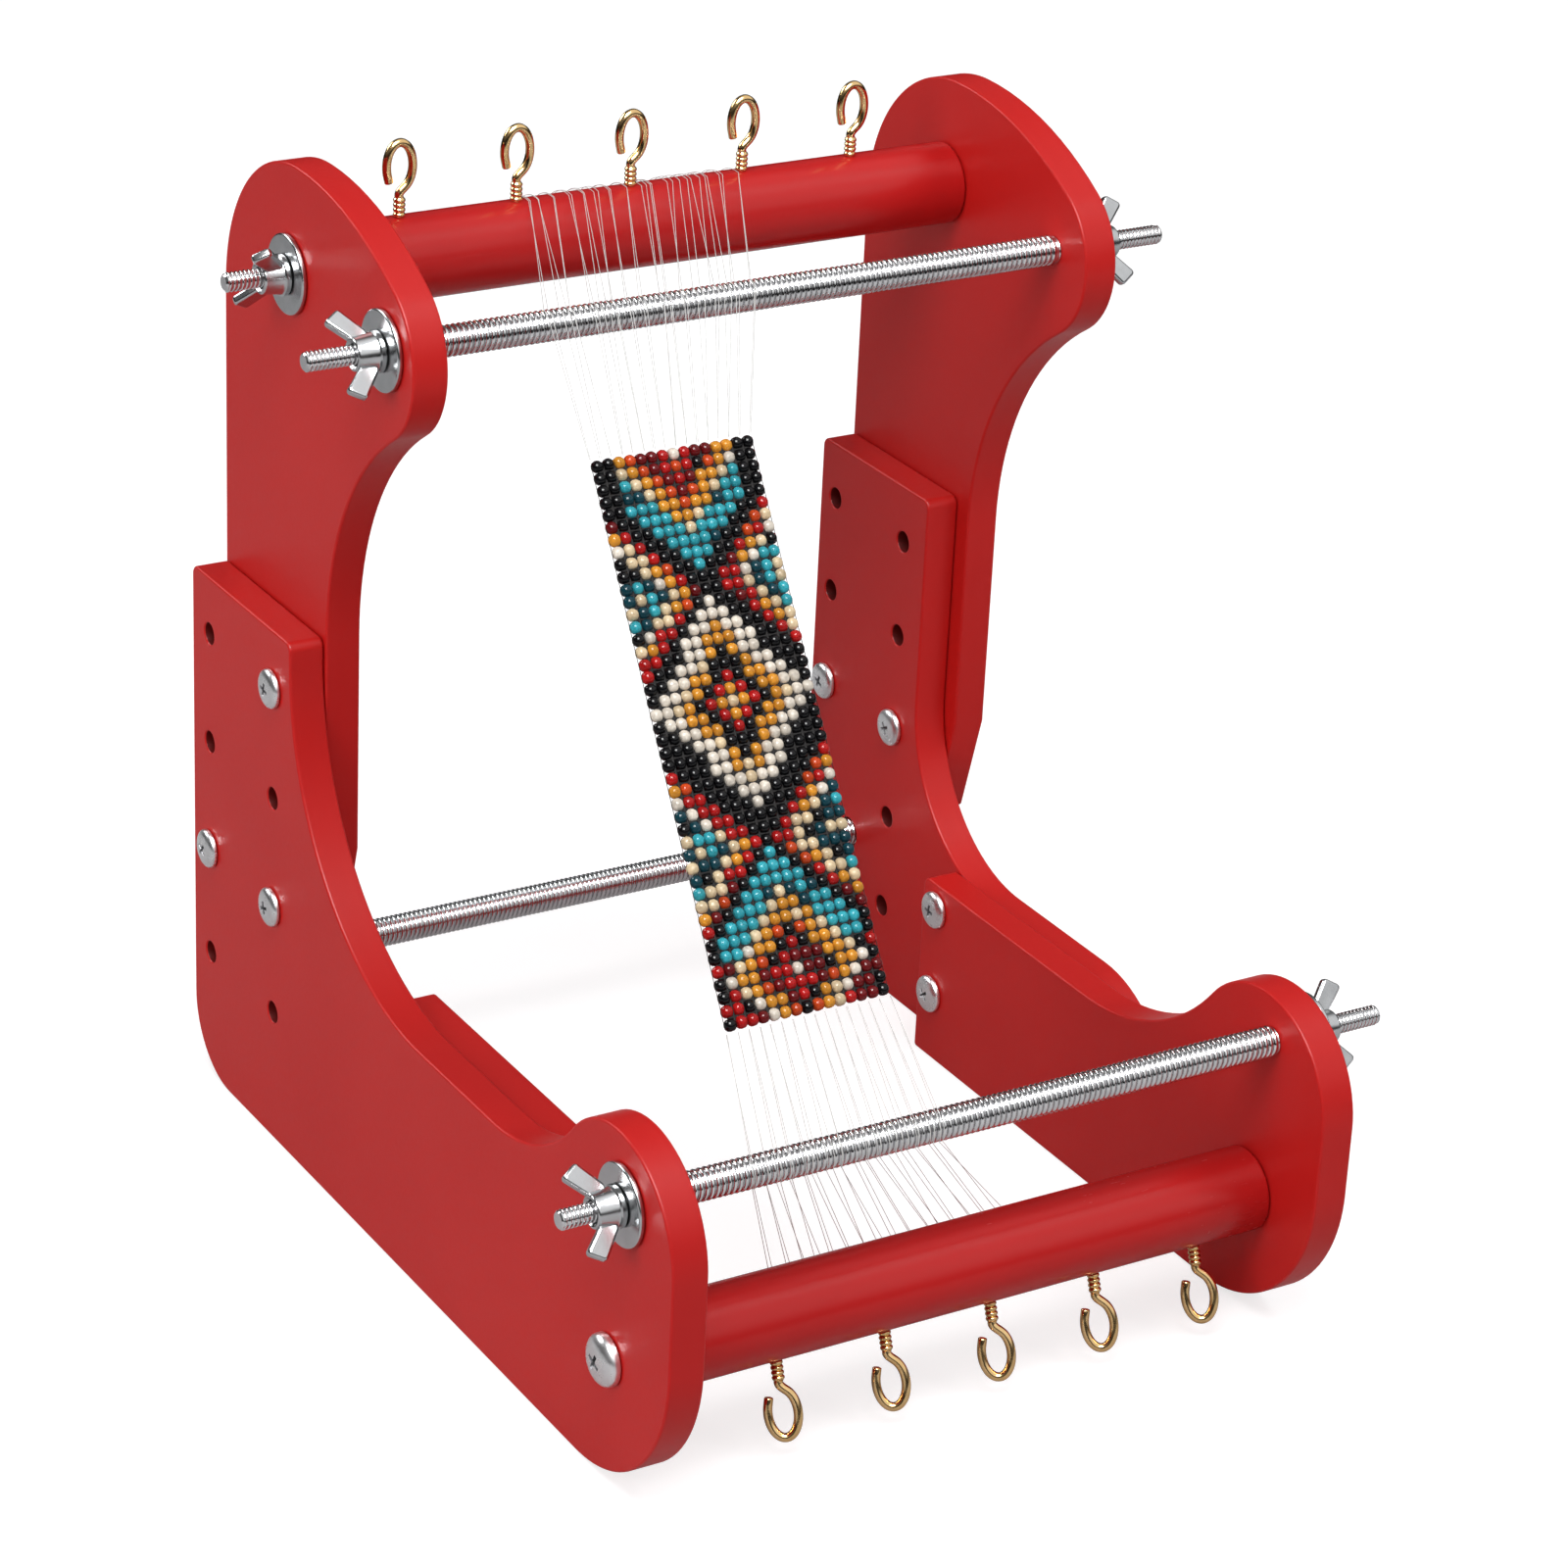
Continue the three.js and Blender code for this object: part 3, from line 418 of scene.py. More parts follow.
def arm_outline():
    waist = BACK - ARM_WAIST
    disc_y, disc_z = UPPER_ROD[0] + DISC_BEHIND_ROD, UPPER_ROD[1] - DISC_BELOW_ROD
    crown_z = ARM_TOP - ARM_CROWN
    crown_y = disc_y + math.sqrt((ARM_CROWN - ARM_DISC) ** 2 - (crown_z - disc_z) ** 2)
    crown_end = math.atan2(disc_z - crown_z, disc_y - crown_y)
    aside, above = disc_y - waist, disc_z - ARM_WAIST_HEIGHT
    throat = (aside ** 2 + above ** 2 - ARM_DISC ** 2) / (2 * (ARM_DISC - aside))
    throat_y = waist - throat
    towards = math.atan2(above, disc_y - throat_y)
    shoulder = BACK - crown_y
    outline = Outline(waist + TAIL_CUT_DEPTH, ARM_BOTTOM).line(BACK, ARM_BOTTOM)
    outline.arc(BACK - shoulder, ARM_TOP - shoulder, shoulder, 0, math.pi / 2)
    outline.arc(crown_y, crown_z, ARM_CROWN, math.pi / 2, crown_end)
    outline.arc(disc_y, disc_z, ARM_DISC, crown_end, towards + math.pi)
    outline.arc(throat_y, ARM_WAIST_HEIGHT, throat, towards, 0)
    outline.line(waist, ARM_BOTTOM + TAIL_CUT_HEIGHT)
    return outline


def soften_corners(points, radius):
    """Gives every sharp corner of a closed outline a small round."""
    made = []
    if math.dist(points[0], points[-1]) < 1e-3:
        points = points[:-1]
    count = len(points)
    for i, here in enumerate(points):
        before, after = Vector(points[i - 1]), Vector(points[(i + 1) % count])
        here = Vector(here)
        a, b = (before - here), (after - here)
        angle = math.pi - a.angle(b)
        if angle < math.radians(SHARP_TURN):
            made.append(tuple(here))
            continue
        reach = min(radius * math.tan(angle / 2), a.length * 0.45, b.length * 0.45)
        size = reach / math.tan(angle / 2)
        a.normalize()
        b.normalize()
        centre = here + (a + b).normalized() * (size / math.cos(angle / 2))
        start, end = here + a * reach - centre, here + b * reach - centre
        turn = math.atan2(start.x * end.y - start.y * end.x, start.dot(end))
        for k in range(5):
            t = turn * k / 4
            made.append((centre.x + start.x * math.cos(t) - start.y * math.sin(t),
                         centre.y + start.x * math.sin(t) + start.y * math.cos(t)))
    return made


def drawn_in(points, inset):
    """The outline moved inwards by inset. The outline runs anticlockwise."""
    count = len(points)
    made = []
    for i, here in enumerate(points):
        before, after = points[i - 1], points[(i + 1) % count]
        one = Vector((here[0] - before[0], here[1] - before[1])).normalized()
        two = Vector((after[0] - here[0], after[1] - here[1])).normalized()
        inward = Vector((-one.y - two.y, one.x + two.x)).normalized()
        stretch = 1 / max(0.3, inward.dot(Vector((-one.y, one.x))))
        made.append((here[0] + inward.x * inset * stretch, here[1] + inward.y * inset * stretch))
    return made


def eased_plate(points, thickness, ease, holes=(), steps=4):
    """A plate along X from 0 to thickness, with rounded edges, and holes with eased rims. The holes' walls
    have finish 1, which paints them darker as the shade inside the holes, and everything else has finish 0."""
    form = Form()
    outline = soften_corners(points, CORNER_ROUND)
    area = sum(p[0] * q[1] - q[0] * p[1] for p, q in zip(outline, outline[1:] + outline[:1]))
    if area < 0:
        outline = outline[::-1]
    section = []
    for k in range(steps + 1):
        t = math.radians(90 * k / steps)
        section.append((ease * (1 - math.cos(t)), ease * (1 - math.sin(t))))
    section.append((ease * 1.25, 0.0))
    section += [(thickness - x, inset) for x, inset in section[::-1]]
    rings = [[(x, y, z) for y, z in drawn_in(outline, inset)] for x, inset in section]
    loft(form, rings, False)

    caps = {0.0: [rings[0]], thickness: [rings[-1]]}
    for (y, z), radius, low, high in holes:
        count = SMALL_HOLE_SIDES if radius < SMALL_HOLE else HOLE_SIDES
        circle = [(math.cos(2 * math.pi * k / count), math.sin(2 * math.pi * k / count))
                  for k in range(count)]

        def ring(x, r):
            return [(x, y + r * c, z + r * s) for c, s in circle]

        near = [(0.0, radius + HOLE_EASE), (HOLE_EASE * 0.3, radius + HOLE_EASE * 0.3),
                (HOLE_EASE, radius)]
        far = [(thickness - x, r) for x, r in near[::-1]]
        if low is None and high is None:
            path = near + far
            caps[0.0].append(ring(*path[0]))
            caps[thickness].append(ring(*path[-1]))
        elif low is not None:
            path = near + [(low, radius)]
            caps[0.0].append(ring(*path[0]))
        else:
            path = [(thickness - high, radius)] + far
            caps[thickness].append(ring(*path[-1]))
        walls = [ring(x, r)[::-1] for x, r in path]
        rims = 2 if high is None else 0
        deep = len(walls) - 3 if low is None else len(walls) - 1
        for first, last, shade in ((0, rims, 0), (rims, deep, 1), (deep, len(walls) - 1, 0)):
            if last > first:
                loft(form, walls[first:last + 1], False, shade)
        if low is not None:
            form.add(walls[-1], [list(range(count))], 1, False)
        if high is not None:
            form.add(walls[0], [list(range(count))[::-1]], 1, False)

    for x, loops in caps.items():
        flat = [[Vector((c[1], c[2], 0)) for c in loop] for loop in loops]
        corners = [c for loop in loops for c in loop]
        faces = []
        for a, b, c in tessellate_polygon(flat):
            p, q, r = corners[a], corners[b], corners[c]
            turn = (q[1] - p[1]) * (r[2] - p[2]) - (q[2] - p[2]) * (r[1] - p[1])
            if abs(turn) < 1e-9:
                continue
            faces.append((a, b, c) if (turn > 0) == (x > 0) else (a, c, b))
        form.add(corners, faces, 0, False)
    return form


# Node trees

NOISE_LOW, NOISE_HIGH = 0.3, 0.7  # a noise texture's values lie mostly between these
PATCH_SHARE = 0.6  # how much of the roughness follows the patches, and not the grain
FLOAT, COUNT, VECTOR, COLOUR, GEOMETRY, MATERIAL = (
    f"NodeSocket{kind}" for kind in ("Float", "Int", "Vector", "Color", "Geometry", "Material"))


def new_group(name, kind, inputs, outputs):
    """A node group with named sockets. Gives the group, the sockets that carry its
    inputs, and the sockets that its results go to."""
    group = bpy.data.node_groups.new(name, kind)
    for label, form, value in inputs:
        socket = group.interface.new_socket(label, in_out="INPUT", socket_type=form)
        if value is not None:
            socket.default_value = value
    for label, form in outputs:
        group.interface.new_socket(label, in_out="OUTPUT", socket_type=form)
    return group, group.nodes.new("NodeGroupInput").outputs, group.nodes.new("NodeGroupOutput").inputs


def put(tree, kind, inputs=None, **settings):
    """A new node. Each of its inputs gets a plain value or another node's output."""
    made = tree.nodes.new(kind)
    for key, value in settings.items():
        setattr(made, key, value)
    for socket, value in (inputs or {}).items():
        if isinstance(value, bpy.types.NodeSocket):
            tree.links.new(value, made.inputs[socket])
        else:
            made.inputs[socket].default_value = value
    return made


def maths(tree, operation, *values):
    return put(tree, "ShaderNodeMath", dict(enumerate(values)), operation=operation).outputs[0]


def surface_variation():
    """Slow drift of colour over a surface and the fine unevenness of its finish."""
    group, given, result = new_group(
        "finish_variation", "ShaderNodeTree",
        [("Colour", COLOUR, (0.5, 0.5, 0.5, 1)),
         ("Second colour", COLOUR, (0.5, 0.5, 0.5, 1)),
         ("Patch size", FLOAT, 0.05),
         ("Grain size", FLOAT, 0.001),
         ("Stretch", VECTOR, (1, 1, 1)),
         ("Roughness low", FLOAT, 0.3),
         ("Roughness high", FLOAT, 0.4)],
        [("Colour", COLOUR), ("Roughness", FLOAT), ("Height", FLOAT)])
    where = put(group, "ShaderNodeTexCoord")
    stretched = put(group, "ShaderNodeVectorMath",
                    {0: where.outputs["Object"], 1: given["Stretch"]}, operation="MULTIPLY")

    def noise(size, detail):
        return put(group, "ShaderNodeTexNoise", {
            "Vector": stretched.outputs[0], "Detail": detail,
            "Scale": maths(group, "DIVIDE", 1.0, given[size])}).outputs["Fac"]

    patches, grain = noise("Patch size", 3), noise("Grain size", 2)
    drift = put(group, "ShaderNodeMapRange", {
        "Value": patches, "From Min": NOISE_LOW, "From Max": NOISE_HIGH})
    colour = put(group, "ShaderNodeMix", {
        "Factor": drift.outputs["Result"], 6: given["Colour"], 7: given["Second colour"]},
        data_type="RGBA")
    blend = maths(group, "ADD", maths(group, "MULTIPLY", patches, PATCH_SHARE),
                  maths(group, "MULTIPLY", grain, 1 - PATCH_SHARE))
    rough = put(group, "ShaderNodeMapRange", {
        "Value": blend, "From Min": NOISE_LOW, "From Max": NOISE_HIGH,
        "To Min": given["Roughness low"], "To Max": given["Roughness high"]})
    group.links.new(colour.outputs[2], result["Colour"])
    group.links.new(rough.outputs["Result"], result["Roughness"])
    group.links.new(grain, result["Height"])
    return group


VARIATION = surface_variation()


def add_variation(tree, colour, second, patch, grain, rough, stretch=(1, 1, 1)):
    """The shared variation, placed in a material with that finish's own values."""
    return put(tree, "ShaderNodeGroup", {
        "Colour": (*colour, 1), "Second colour": (*second, 1),
        "Patch size": patch, "Grain size": grain, "Stretch": stretch,
        "Roughness low": rough[0], "Roughness high": rough[1]}, node_tree=VARIATION).outputs


def new_material(name):
    material = bpy.data.materials.new(name)
    material.use_nodes = True
    tree = material.node_tree
    return material, tree, tree.nodes["Principled BSDF"].inputs


def finish(name, colour, second, patch, grain, rough, bump, stretch=(1, 1, 1), **settings):
    """A material: its two colours, the sizes of its patches and grain and the height
    of its grain in metres, its lowest and highest roughness, and plain values for the
    shader's own sockets."""
    material, tree, shader = new_material(name)
    for socket, value in settings.items():
        shader[socket.replace("_", " ")].default_value = value
    variation = add_variation(tree, colour, second, patch, grain, rough, stretch)
    uneven = put(tree, "ShaderNodeBump", {
        "Strength": 1.0, "Distance": bump, "Height": variation["Height"]})
    tree.links.new(variation["Colour"], shader["Base Color"])
    tree.links.new(variation["Roughness"], shader["Roughness"])
    tree.links.new(uneven.outputs["Normal"], shader["Normal"])
    return material


RED_PAINT = finish(
    "red_satin_paint", (0.54, 0.012, 0.010), (0.50, 0.010, 0.009),
    patch=0.09, grain=0.0016, rough=(0.32, 0.40), bump=0.00001, Specular_IOR_Level=0.2)
# Painted shade: the holes' walls are painted nearly black-red for the shade that falls inside them
SHADED_BORE_PAINT = finish(
    "painted_shade_in_the_holes", (0.17, 0.006, 0.005), (0.12, 0.005, 0.004),
    patch=0.03, grain=0.0008, rough=(0.5, 0.65), bump=0.00002, Specular_IOR_Level=0.15)
DOWEL_PAINT = finish(
    "red_dowel_paint", (0.50, 0.012, 0.012), (0.46, 0.010, 0.010),
    patch=0.05, grain=0.0012, rough=(0.22, 0.28), bump=0.00001, stretch=(0.25, 1, 1),
    Specular_IOR_Level=0.24)
ZINC = finish(
    "zinc_plate", (0.55, 0.56, 0.57), (0.47, 0.48, 0.49),
    patch=0.006, grain=0.0005, rough=(0.16, 0.26), bump=0.000003, Metallic=1.0)
ROD_STEEL = finish(
    "rolled_steel_thread", (0.70, 0.70, 0.71), (0.60, 0.60, 0.61),
    patch=0.004, grain=0.0004, rough=(0.12, 0.18), bump=0.000002, Metallic=1.0)
HEAD_PLATE = finish(
    "screw_head_plate", (0.86, 0.86, 0.87), (0.78, 0.78, 0.79),
    patch=0.004, grain=0.0004, rough=(0.24, 0.34), bump=0.000003, Metallic=1.0)
RECESS = finish(
    "shaded_recess", (0.32, 0.32, 0.33), (0.24, 0.24, 0.25),
    patch=0.001, grain=0.0003, rough=(0.35, 0.5), bump=0.000003, Metallic=1.0)
BRASS = finish(
    "polished_brass", (0.80, 0.55, 0.27), (0.70, 0.46, 0.20),
    patch=0.004, grain=0.0005, rough=(0.12, 0.2), bump=0.000002, Metallic=1.0)
THREAD = finish(
    "warp_thread", (0.66, 0.65, 0.63), (0.54, 0.53, 0.52),
    patch=0.003, grain=0.0002, rough=(0.45, 0.6), bump=0.00001)
# Black thread: the weft is really dark, and the thick inner strands also paint the shade in the gaps
# between beads
DARK_THREAD_AND_GAP_SHADE = finish(
    "dark_thread_and_painted_gap_shade", (0.007, 0.006, 0.006), (0.014, 0.012, 0.012),
    patch=0.003, grain=0.0002, rough=(0.6, 0.75), bump=0.00001, Specular_IOR_Level=0.2)


def bead_glass():
    """Opaque glass. Each bead carries its own colour, with fine streaks in the glass."""
    material, tree, shader = new_material("bead_glass")
    shader["IOR"].default_value = 1.52
    shader["Specular IOR Level"].default_value = 0.22
    colour = put(tree, "ShaderNodeAttribute", attribute_name="bead_colour")
    variation = add_variation(tree, (1, 1, 1), (0.72, 0.70, 0.68),
                              patch=0.0012, grain=0.0003, rough=(0.08, 0.14))
    tint = put(tree, "ShaderNodeMix", {
        "Factor": 1.0, 6: colour.outputs["Color"], 7: variation["Colour"]},
        data_type="RGBA", blend_type="MULTIPLY")
    tree.links.new(tint.outputs[2], shader["Base Color"])
    tree.links.new(variation["Roughness"], shader["Roughness"])
    return material


BEAD_GLASS = bead_glass()


def grow(source, tree, **values):
    """Runs a geometry tree on a mesh and gives the result as a plain mesh."""
    carrier = bpy.data.objects.new("carrier", source)
    bpy.context.scene.collection.objects.link(carrier)
    modifier = carrier.modifiers.new("grow", "NODES")
    modifier.node_group = tree
    for item in tree.interface.items_tree:
        if item.item_type == "SOCKET" and item.in_out == "INPUT" and item.name in values:
            modifier[item.identifier] = values[item.name]
    evaluated = carrier.evaluated_get(bpy.context.evaluated_depsgraph_get())
    mesh = bpy.data.meshes.new_from_object(evaluated)
    carrier.modifiers.remove(modifier)
    bpy.data.objects.remove(carrier)
    return mesh


def swept(group, path, sides, radius):
    """A round section drawn along a path, with closed ends."""
    section = put(group, "GeometryNodeCurvePrimitiveCircle",
                  {"Resolution": sides, "Radius": radius}, mode="RADIUS")
    return put(group, "GeometryNodeCurveToMesh", {
        "Curve": path, "Profile Curve": section.outputs[0], "Fill Caps": True}).outputs[0]


def end_tree(group, shape, given, result):
    """The end of every geometry tree: real meshes with their material."""
    real = put(group, "GeometryNodeRealizeInstances", {0: shape})
    painted = put(group, "GeometryNodeSetMaterial", {
        "Geometry": real.outputs[0], "Material": given["Material"]})
    group.links.new(painted.outputs[0], result[0])
    return group


def thread_ridge_tree():
    """A thread's ridge: a coil along X round a core, with a rounded crest."""
    group, given, result = new_group(
        "screw_thread", "GeometryNodeTree",
        [("Geometry", GEOMETRY, None),
         ("Start", VECTOR, (0, 0, 0)),
         ("Length", FLOAT, 0.1),
         ("Pitch", FLOAT, 0.0015),
         ("Core radius", FLOAT, 0.004),
         ("Crest height", FLOAT, 0.0007),
         ("Steps per turn", COUNT, 22),
         ("Crest sides", COUNT, 6),
         ("Material", MATERIAL, None)],
        [("Geometry", GEOMETRY)])
    coil = put(group, "GeometryNodeCurveSpiral", {
        "Resolution": given["Steps per turn"],
        "Rotations": maths(group, "DIVIDE", given["Length"], given["Pitch"]),
        "Start Radius": given["Core radius"], "End Radius": given["Core radius"],
        "Height": given["Length"]})
    upright = put(group, "GeometryNodeSetCurveNormal", {"Curve": coil.outputs[0]}, mode="Z_UP")
    ridge = swept(group, upright.outputs[0], given["Crest sides"], given["Crest height"])
    laid = put(group, "GeometryNodeTransform", {"Geometry": ridge, "Rotation": (0, math.pi / 2, 0)})
    placed = put(group, "GeometryNodeTransform", {
        "Geometry": laid.outputs[0], "Translation": given["Start"]})
    joined = put(group, "GeometryNodeJoinGeometry")
    group.links.new(placed.outputs[0], joined.inputs[0])
    group.links.new(given["Geometry"], joined.inputs[0])
    return end_tree(group, joined.outputs[0], given, result)


def strand_tree():
    """Round strands along the edges of a mesh."""
    group, given, result = new_group(
        "warp_strands", "GeometryNodeTree",
        [("Geometry", GEOMETRY, None),
         ("Strand radius", FLOAT, 0.00015),
         ("Strand sides", COUNT, 6),
         ("Material", MATERIAL, None)],
        [("Geometry", GEOMETRY)])
    path = put(group, "GeometryNodeMeshToCurve", {"Mesh": given["Geometry"]})
    strand = swept(group, path.outputs[0], given["Strand sides"], given["Strand radius"])
    return end_tree(group, strand, given, result)


def bead_tree():
    """Barrel-shaped beads on a mesh's corners, none quite like the next. Their hole
    runs along X."""
    group, given, result = new_group(
        "woven_beads", "GeometryNodeTree",
        [("Geometry", GEOMETRY, None),
         ("Bead radius", FLOAT, 0.0018),
         ("Bead length", FLOAT, 0.0032),
         ("Bead sides", COUNT, 10),
         ("Bead rings", COUNT, 6),
         ("Roundness", FLOAT, 2.5),
         ("Size spread", FLOAT, 0.05),
         ("Lean spread", FLOAT, 0.09),
         ("Seed", COUNT, 7),
         ("Material", MATERIAL, None)],
        [("Geometry", GEOMETRY)])
    barrel = put(group, "GeometryNodeMeshCylinder", {
        "Vertices": given["Bead sides"], "Side Segments": given["Bead rings"],
        "Radius": 1.0, "Depth": 2.0}, fill_type="NGON")
    spot = put(group, "GeometryNodeInputPosition")
    parts = put(group, "ShaderNodeSeparateXYZ", {0: spot.outputs[0]}).outputs
    # the place along the bead, with its rings closer together near the ends
    along = maths(group, "SINE", maths(group, "MULTIPLY", parts["Z"], RING_CROWDING))
    bulge = maths(group, "POWER", maths(group, "ABSOLUTE", along), given["Roundness"])
    belly = maths(group, "POWER", maths(group, "SUBTRACT", 1.0, bulge),
                  maths(group, "DIVIDE", 1.0, given["Roundness"]))
    wide = maths(group, "MULTIPLY", belly, given["Bead radius"])
    half = maths(group, "MULTIPLY", given["Bead length"], 0.5)
    shaped = put(group, "ShaderNodeCombineXYZ", {
        "X": maths(group, "MULTIPLY", along, half),
        "Y": maths(group, "MULTIPLY", parts["X"], wide),
        "Z": maths(group, "MULTIPLY", parts["Y"], wide)})
    moved = put(group, "GeometryNodeSetPosition", {
        "Geometry": barrel.outputs["Mesh"], "Position": shaped.outputs[0]})
    soft = put(group, "GeometryNodeSetShadeSmooth", {"Geometry": moved.outputs[0]})

    def spread(amount, middle, step):
        """A random vector for each bead, at most amount away from middle."""
        low, high = (put(group, "ShaderNodeCombineXYZ", {
            axis: maths(group, side, middle, amount) for axis in "XYZ"}).outputs[0]
            for side in ("SUBTRACT", "ADD"))
        return put(group, "FunctionNodeRandomValue", {
            "Min": low, "Max": high, "Seed": maths(group, "ADD", given["Seed"], step)},
            data_type="FLOAT_VECTOR").outputs[0]

    strung = put(group, "GeometryNodeInstanceOnPoints", {
        "Points": given["Geometry"], "Instance": soft.outputs[0],
        "Rotation": spread(given["Lean spread"], 0.0, 1),
        "Scale": spread(given["Size spread"], 1.0, 2)})
    return end_tree(group, strung.outputs[0], given, result)


SCREW_THREAD = thread_ridge_tree()
STRANDS = strand_tree()
BEADS = bead_tree()


# Boards

def hole_rows(inset, spacing, top, pitch, rows):
    return [[(BACK - inset - c * spacing, top - HOLE_TOP_MARGIN - r * pitch) for r in range(rows)]
            for c in range(2)]


LEFT_HOLES = hole_rows(LEFT_INSET, LEFT_COLUMNS, LEFT_TOP, LEFT_PITCH, LEFT_ROWS)
RIGHT_HOLES = hole_rows(RIGHT_INSET, RIGHT_COLUMNS, RIGHT_TOP, RIGHT_PITCH, RIGHT_ROWS)
LEFT_ARM_SCREWS = [LEFT_HOLES[1][0], LEFT_HOLES[0][2], LEFT_HOLES[1][2]]
RIGHT_ARM_SCREWS = [RIGHT_HOLES[0][2], RIGHT_HOLES[1][2]]


def screw_pair(rear, top):
    return [(rear - FOOT_SCREW_INSET, top - FOOT_SCREW_MARGIN - i * PAIR_SPACING) for i in range(2)]


FOOT_BOARD_SCREWS = screw_pair(FRONT + FOOT_BOARD_LENGTH, FOOT_BOARD_TOP)
DOUBLER_SCREWS = screw_pair(BACK - DOUBLER_BACK, DOUBLER_TOP)


def make_boards():
    left = left_base_outline().drill(LEFT_HOLES[0] + LEFT_HOLES[1], HOLE_RADIUS)
    left.drill((LOWER_ROD, LOWER_DOWEL), STUD_BORE)
    left.drill([REAR_ROD], SOCKET_BORE, high=REAR_SOCKET)
    left.drill(DOUBLER_SCREWS, PILOT, high=PILOT_DEPTH)
    doubler = doubler_outline().drill(DOUBLER_SCREWS, PILOT)
    panel = right_panel_outline().drill(RIGHT_HOLES[0] + RIGHT_HOLES[1], HOLE_RADIUS)
    panel.drill([REAR_ROD], SOCKET_BORE, low=REAR_SOCKET)
    panel.drill(FOOT_BOARD_SCREWS, PILOT, low=PILOT_DEPTH)
    foot = foot_board_outline().drill(FOOT_BOARD_SCREWS, PILOT)
    foot.drill((LOWER_ROD, LOWER_DOWEL), STUD_BORE)
    arms = [arm_outline().drill((UPPER_ROD, UPPER_DOWEL), STUD_BORE)
            .drill(screws, PILOT, low=PILOT_DEPTH) for screws in (LEFT_ARM_SCREWS, RIGHT_ARM_SCREWS)]

    for name, outline, x in (
            ("left_base_board", left, LEFT_BASE_X),
            ("left_foot_doubler", doubler, LEFT_INNER_X),
            ("left_upper_arm", arms[0], LEFT_INNER_X),
            ("right_base_board", panel, RIGHT_PANEL_X),
            ("right_foot_board", foot, FOOT_BOARD_X),
            ("right_upper_arm", arms[1], RIGHT_ARM_X)):
        form = eased_plate(outline.points, BOARD, BOARD_EASE, outline.holes)
        make_piece(f"{name}_painted", form, Matrix.Translation((x, 0, 0)), [RED_PAINT, SHADED_BORE_PAINT],
                   "frame", name)


# Threaded rods

def rod_core(start, end, radius, chamfer):
    return turned([(start, 0), (start, radius - chamfer), (start + chamfer, radius),
                   (end - chamfer, radius), (end, radius - chamfer), (end, 0)], ROD_SIDES)


def threaded(stretches, core, place):
    """A core with a thread on each stretch, as one mesh in metres.
    A stretch is (start, end, core radius, crest height, pitch, steps per turn)."""
    mesh = bpy.data.meshes.new("core")
    mesh.from_pydata([in_metres(x, y + place[0], z + place[1]) for x, y, z in core.corners], [], core.faces)
    mesh.polygons.foreach_set("use_smooth", core.smooth)
    mesh.set_sharp_from_angle(angle=math.radians(WIRE_CREASE))
    mesh.update()
    for start, end, radius, crest, pitch, steps in stretches:
        mesh = grow(mesh, SCREW_THREAD, **{
            "Start": in_metres(start, *place), "Length": (end - start) * MM, "Pitch": pitch * MM,
            "Core radius": radius * MM, "Crest height": crest * MM, "Steps per turn": steps,
            "Crest sides": CREST_SIDES, "Material": ROD_STEEL})
    smooth_faces(mesh)
    return mesh


def smooth_faces(mesh):
    mesh.polygons.foreach_set("use_smooth", [True] * len(mesh.polygons))


def shouldered_rod(name, start, end, left_reach, right_reach, place):
    """A thick threaded rod between two boards, with a thinner threaded stud through each."""
    low, high = start + SEAM, end - SEAM
    tip_low, tip_high = start - BOARD - left_reach, end + BOARD + right_reach
    neck, tip, shoulder, core_radius = STUD_CORE + 0.1, STUD_CORE - 0.25, ROD_RADIUS - 0.5, ROD_CORE + 0.1
    core = turned([
        (tip_low, 0), (tip_low, tip), (tip_low + 0.4, STUD_CORE + 0.15), (low, neck),
        (low, shoulder), (low + 0.5, core_radius), (high - 0.5, core_radius), (high, shoulder),
        (high, neck), (tip_high - 0.4, STUD_CORE + 0.15), (tip_high, tip), (tip_high, 0)], ROD_SIDES)
    stud = (STUD_CORE, STUD_CREST, STUD_PITCH, STUD_STEPS)
    mesh = threaded([
        (low + ROD_RUN_OUT, high - ROD_RUN_OUT, ROD_CORE, ROD_CREST, ROD_PITCH, ROD_STEPS),
        (tip_low + TIP_RUN_OUT, low - SHOULDER_RUN_OUT, *stud),
        (high + SHOULDER_RUN_OUT, tip_high - TIP_RUN_OUT, *stud)], core, place)
    settle(mesh, f"{name}_rolled", "frame", name)


def make_rods():
    shouldered_rod("upper_threaded_rod", LEFT_INNER_X + BOARD, RIGHT_ARM_X,
                   UPPER_STUD_LEFT, UPPER_STUD_RIGHT, UPPER_ROD)
    shouldered_rod("lower_threaded_rod", LEFT_BASE_X + BOARD, FOOT_BOARD_X,
                   LOWER_STUD_LEFT, LOWER_STUD_RIGHT, LOWER_ROD)
    start = LEFT_BASE_X + BOARD - REAR_SOCKET + SEAM
    end = RIGHT_PANEL_X + REAR_SOCKET - SEAM
    mesh = threaded([(start + ROD_RUN_OUT, end - ROD_RUN_OUT, ROD_CORE + 0.1, ROD_CREST - 0.1,
                      REAR_PITCH, REAR_STEPS)], rod_core(start, end, ROD_CORE + 0.2, 0.5), REAR_ROD)
    settle(mesh, "rear_threaded_rod_rolled", "frame", "rear_threaded_rod")

    dowel_end = LEFT_INNER_X + BOARD + SEAM
    start, end = LEFT_INNER_X - DOWEL_STUD_REACH, dowel_end + END_BORE - STUD_RADIUS
    mesh = threaded([(start + DOWEL_STUD_RUN_OUT, end - DOWEL_STUD_RUN_OUT, STUD_CORE, STUD_CREST,
                      STUD_PITCH, STUD_STEPS)], rod_core(start, end, STUD_CORE + 0.1, 0.6), UPPER_DOWEL)
    settle(mesh, "upper_dowel_stud_rolled", "upper_dowel_assembly", "upper_dowel_stud")


# Wing nuts and washers

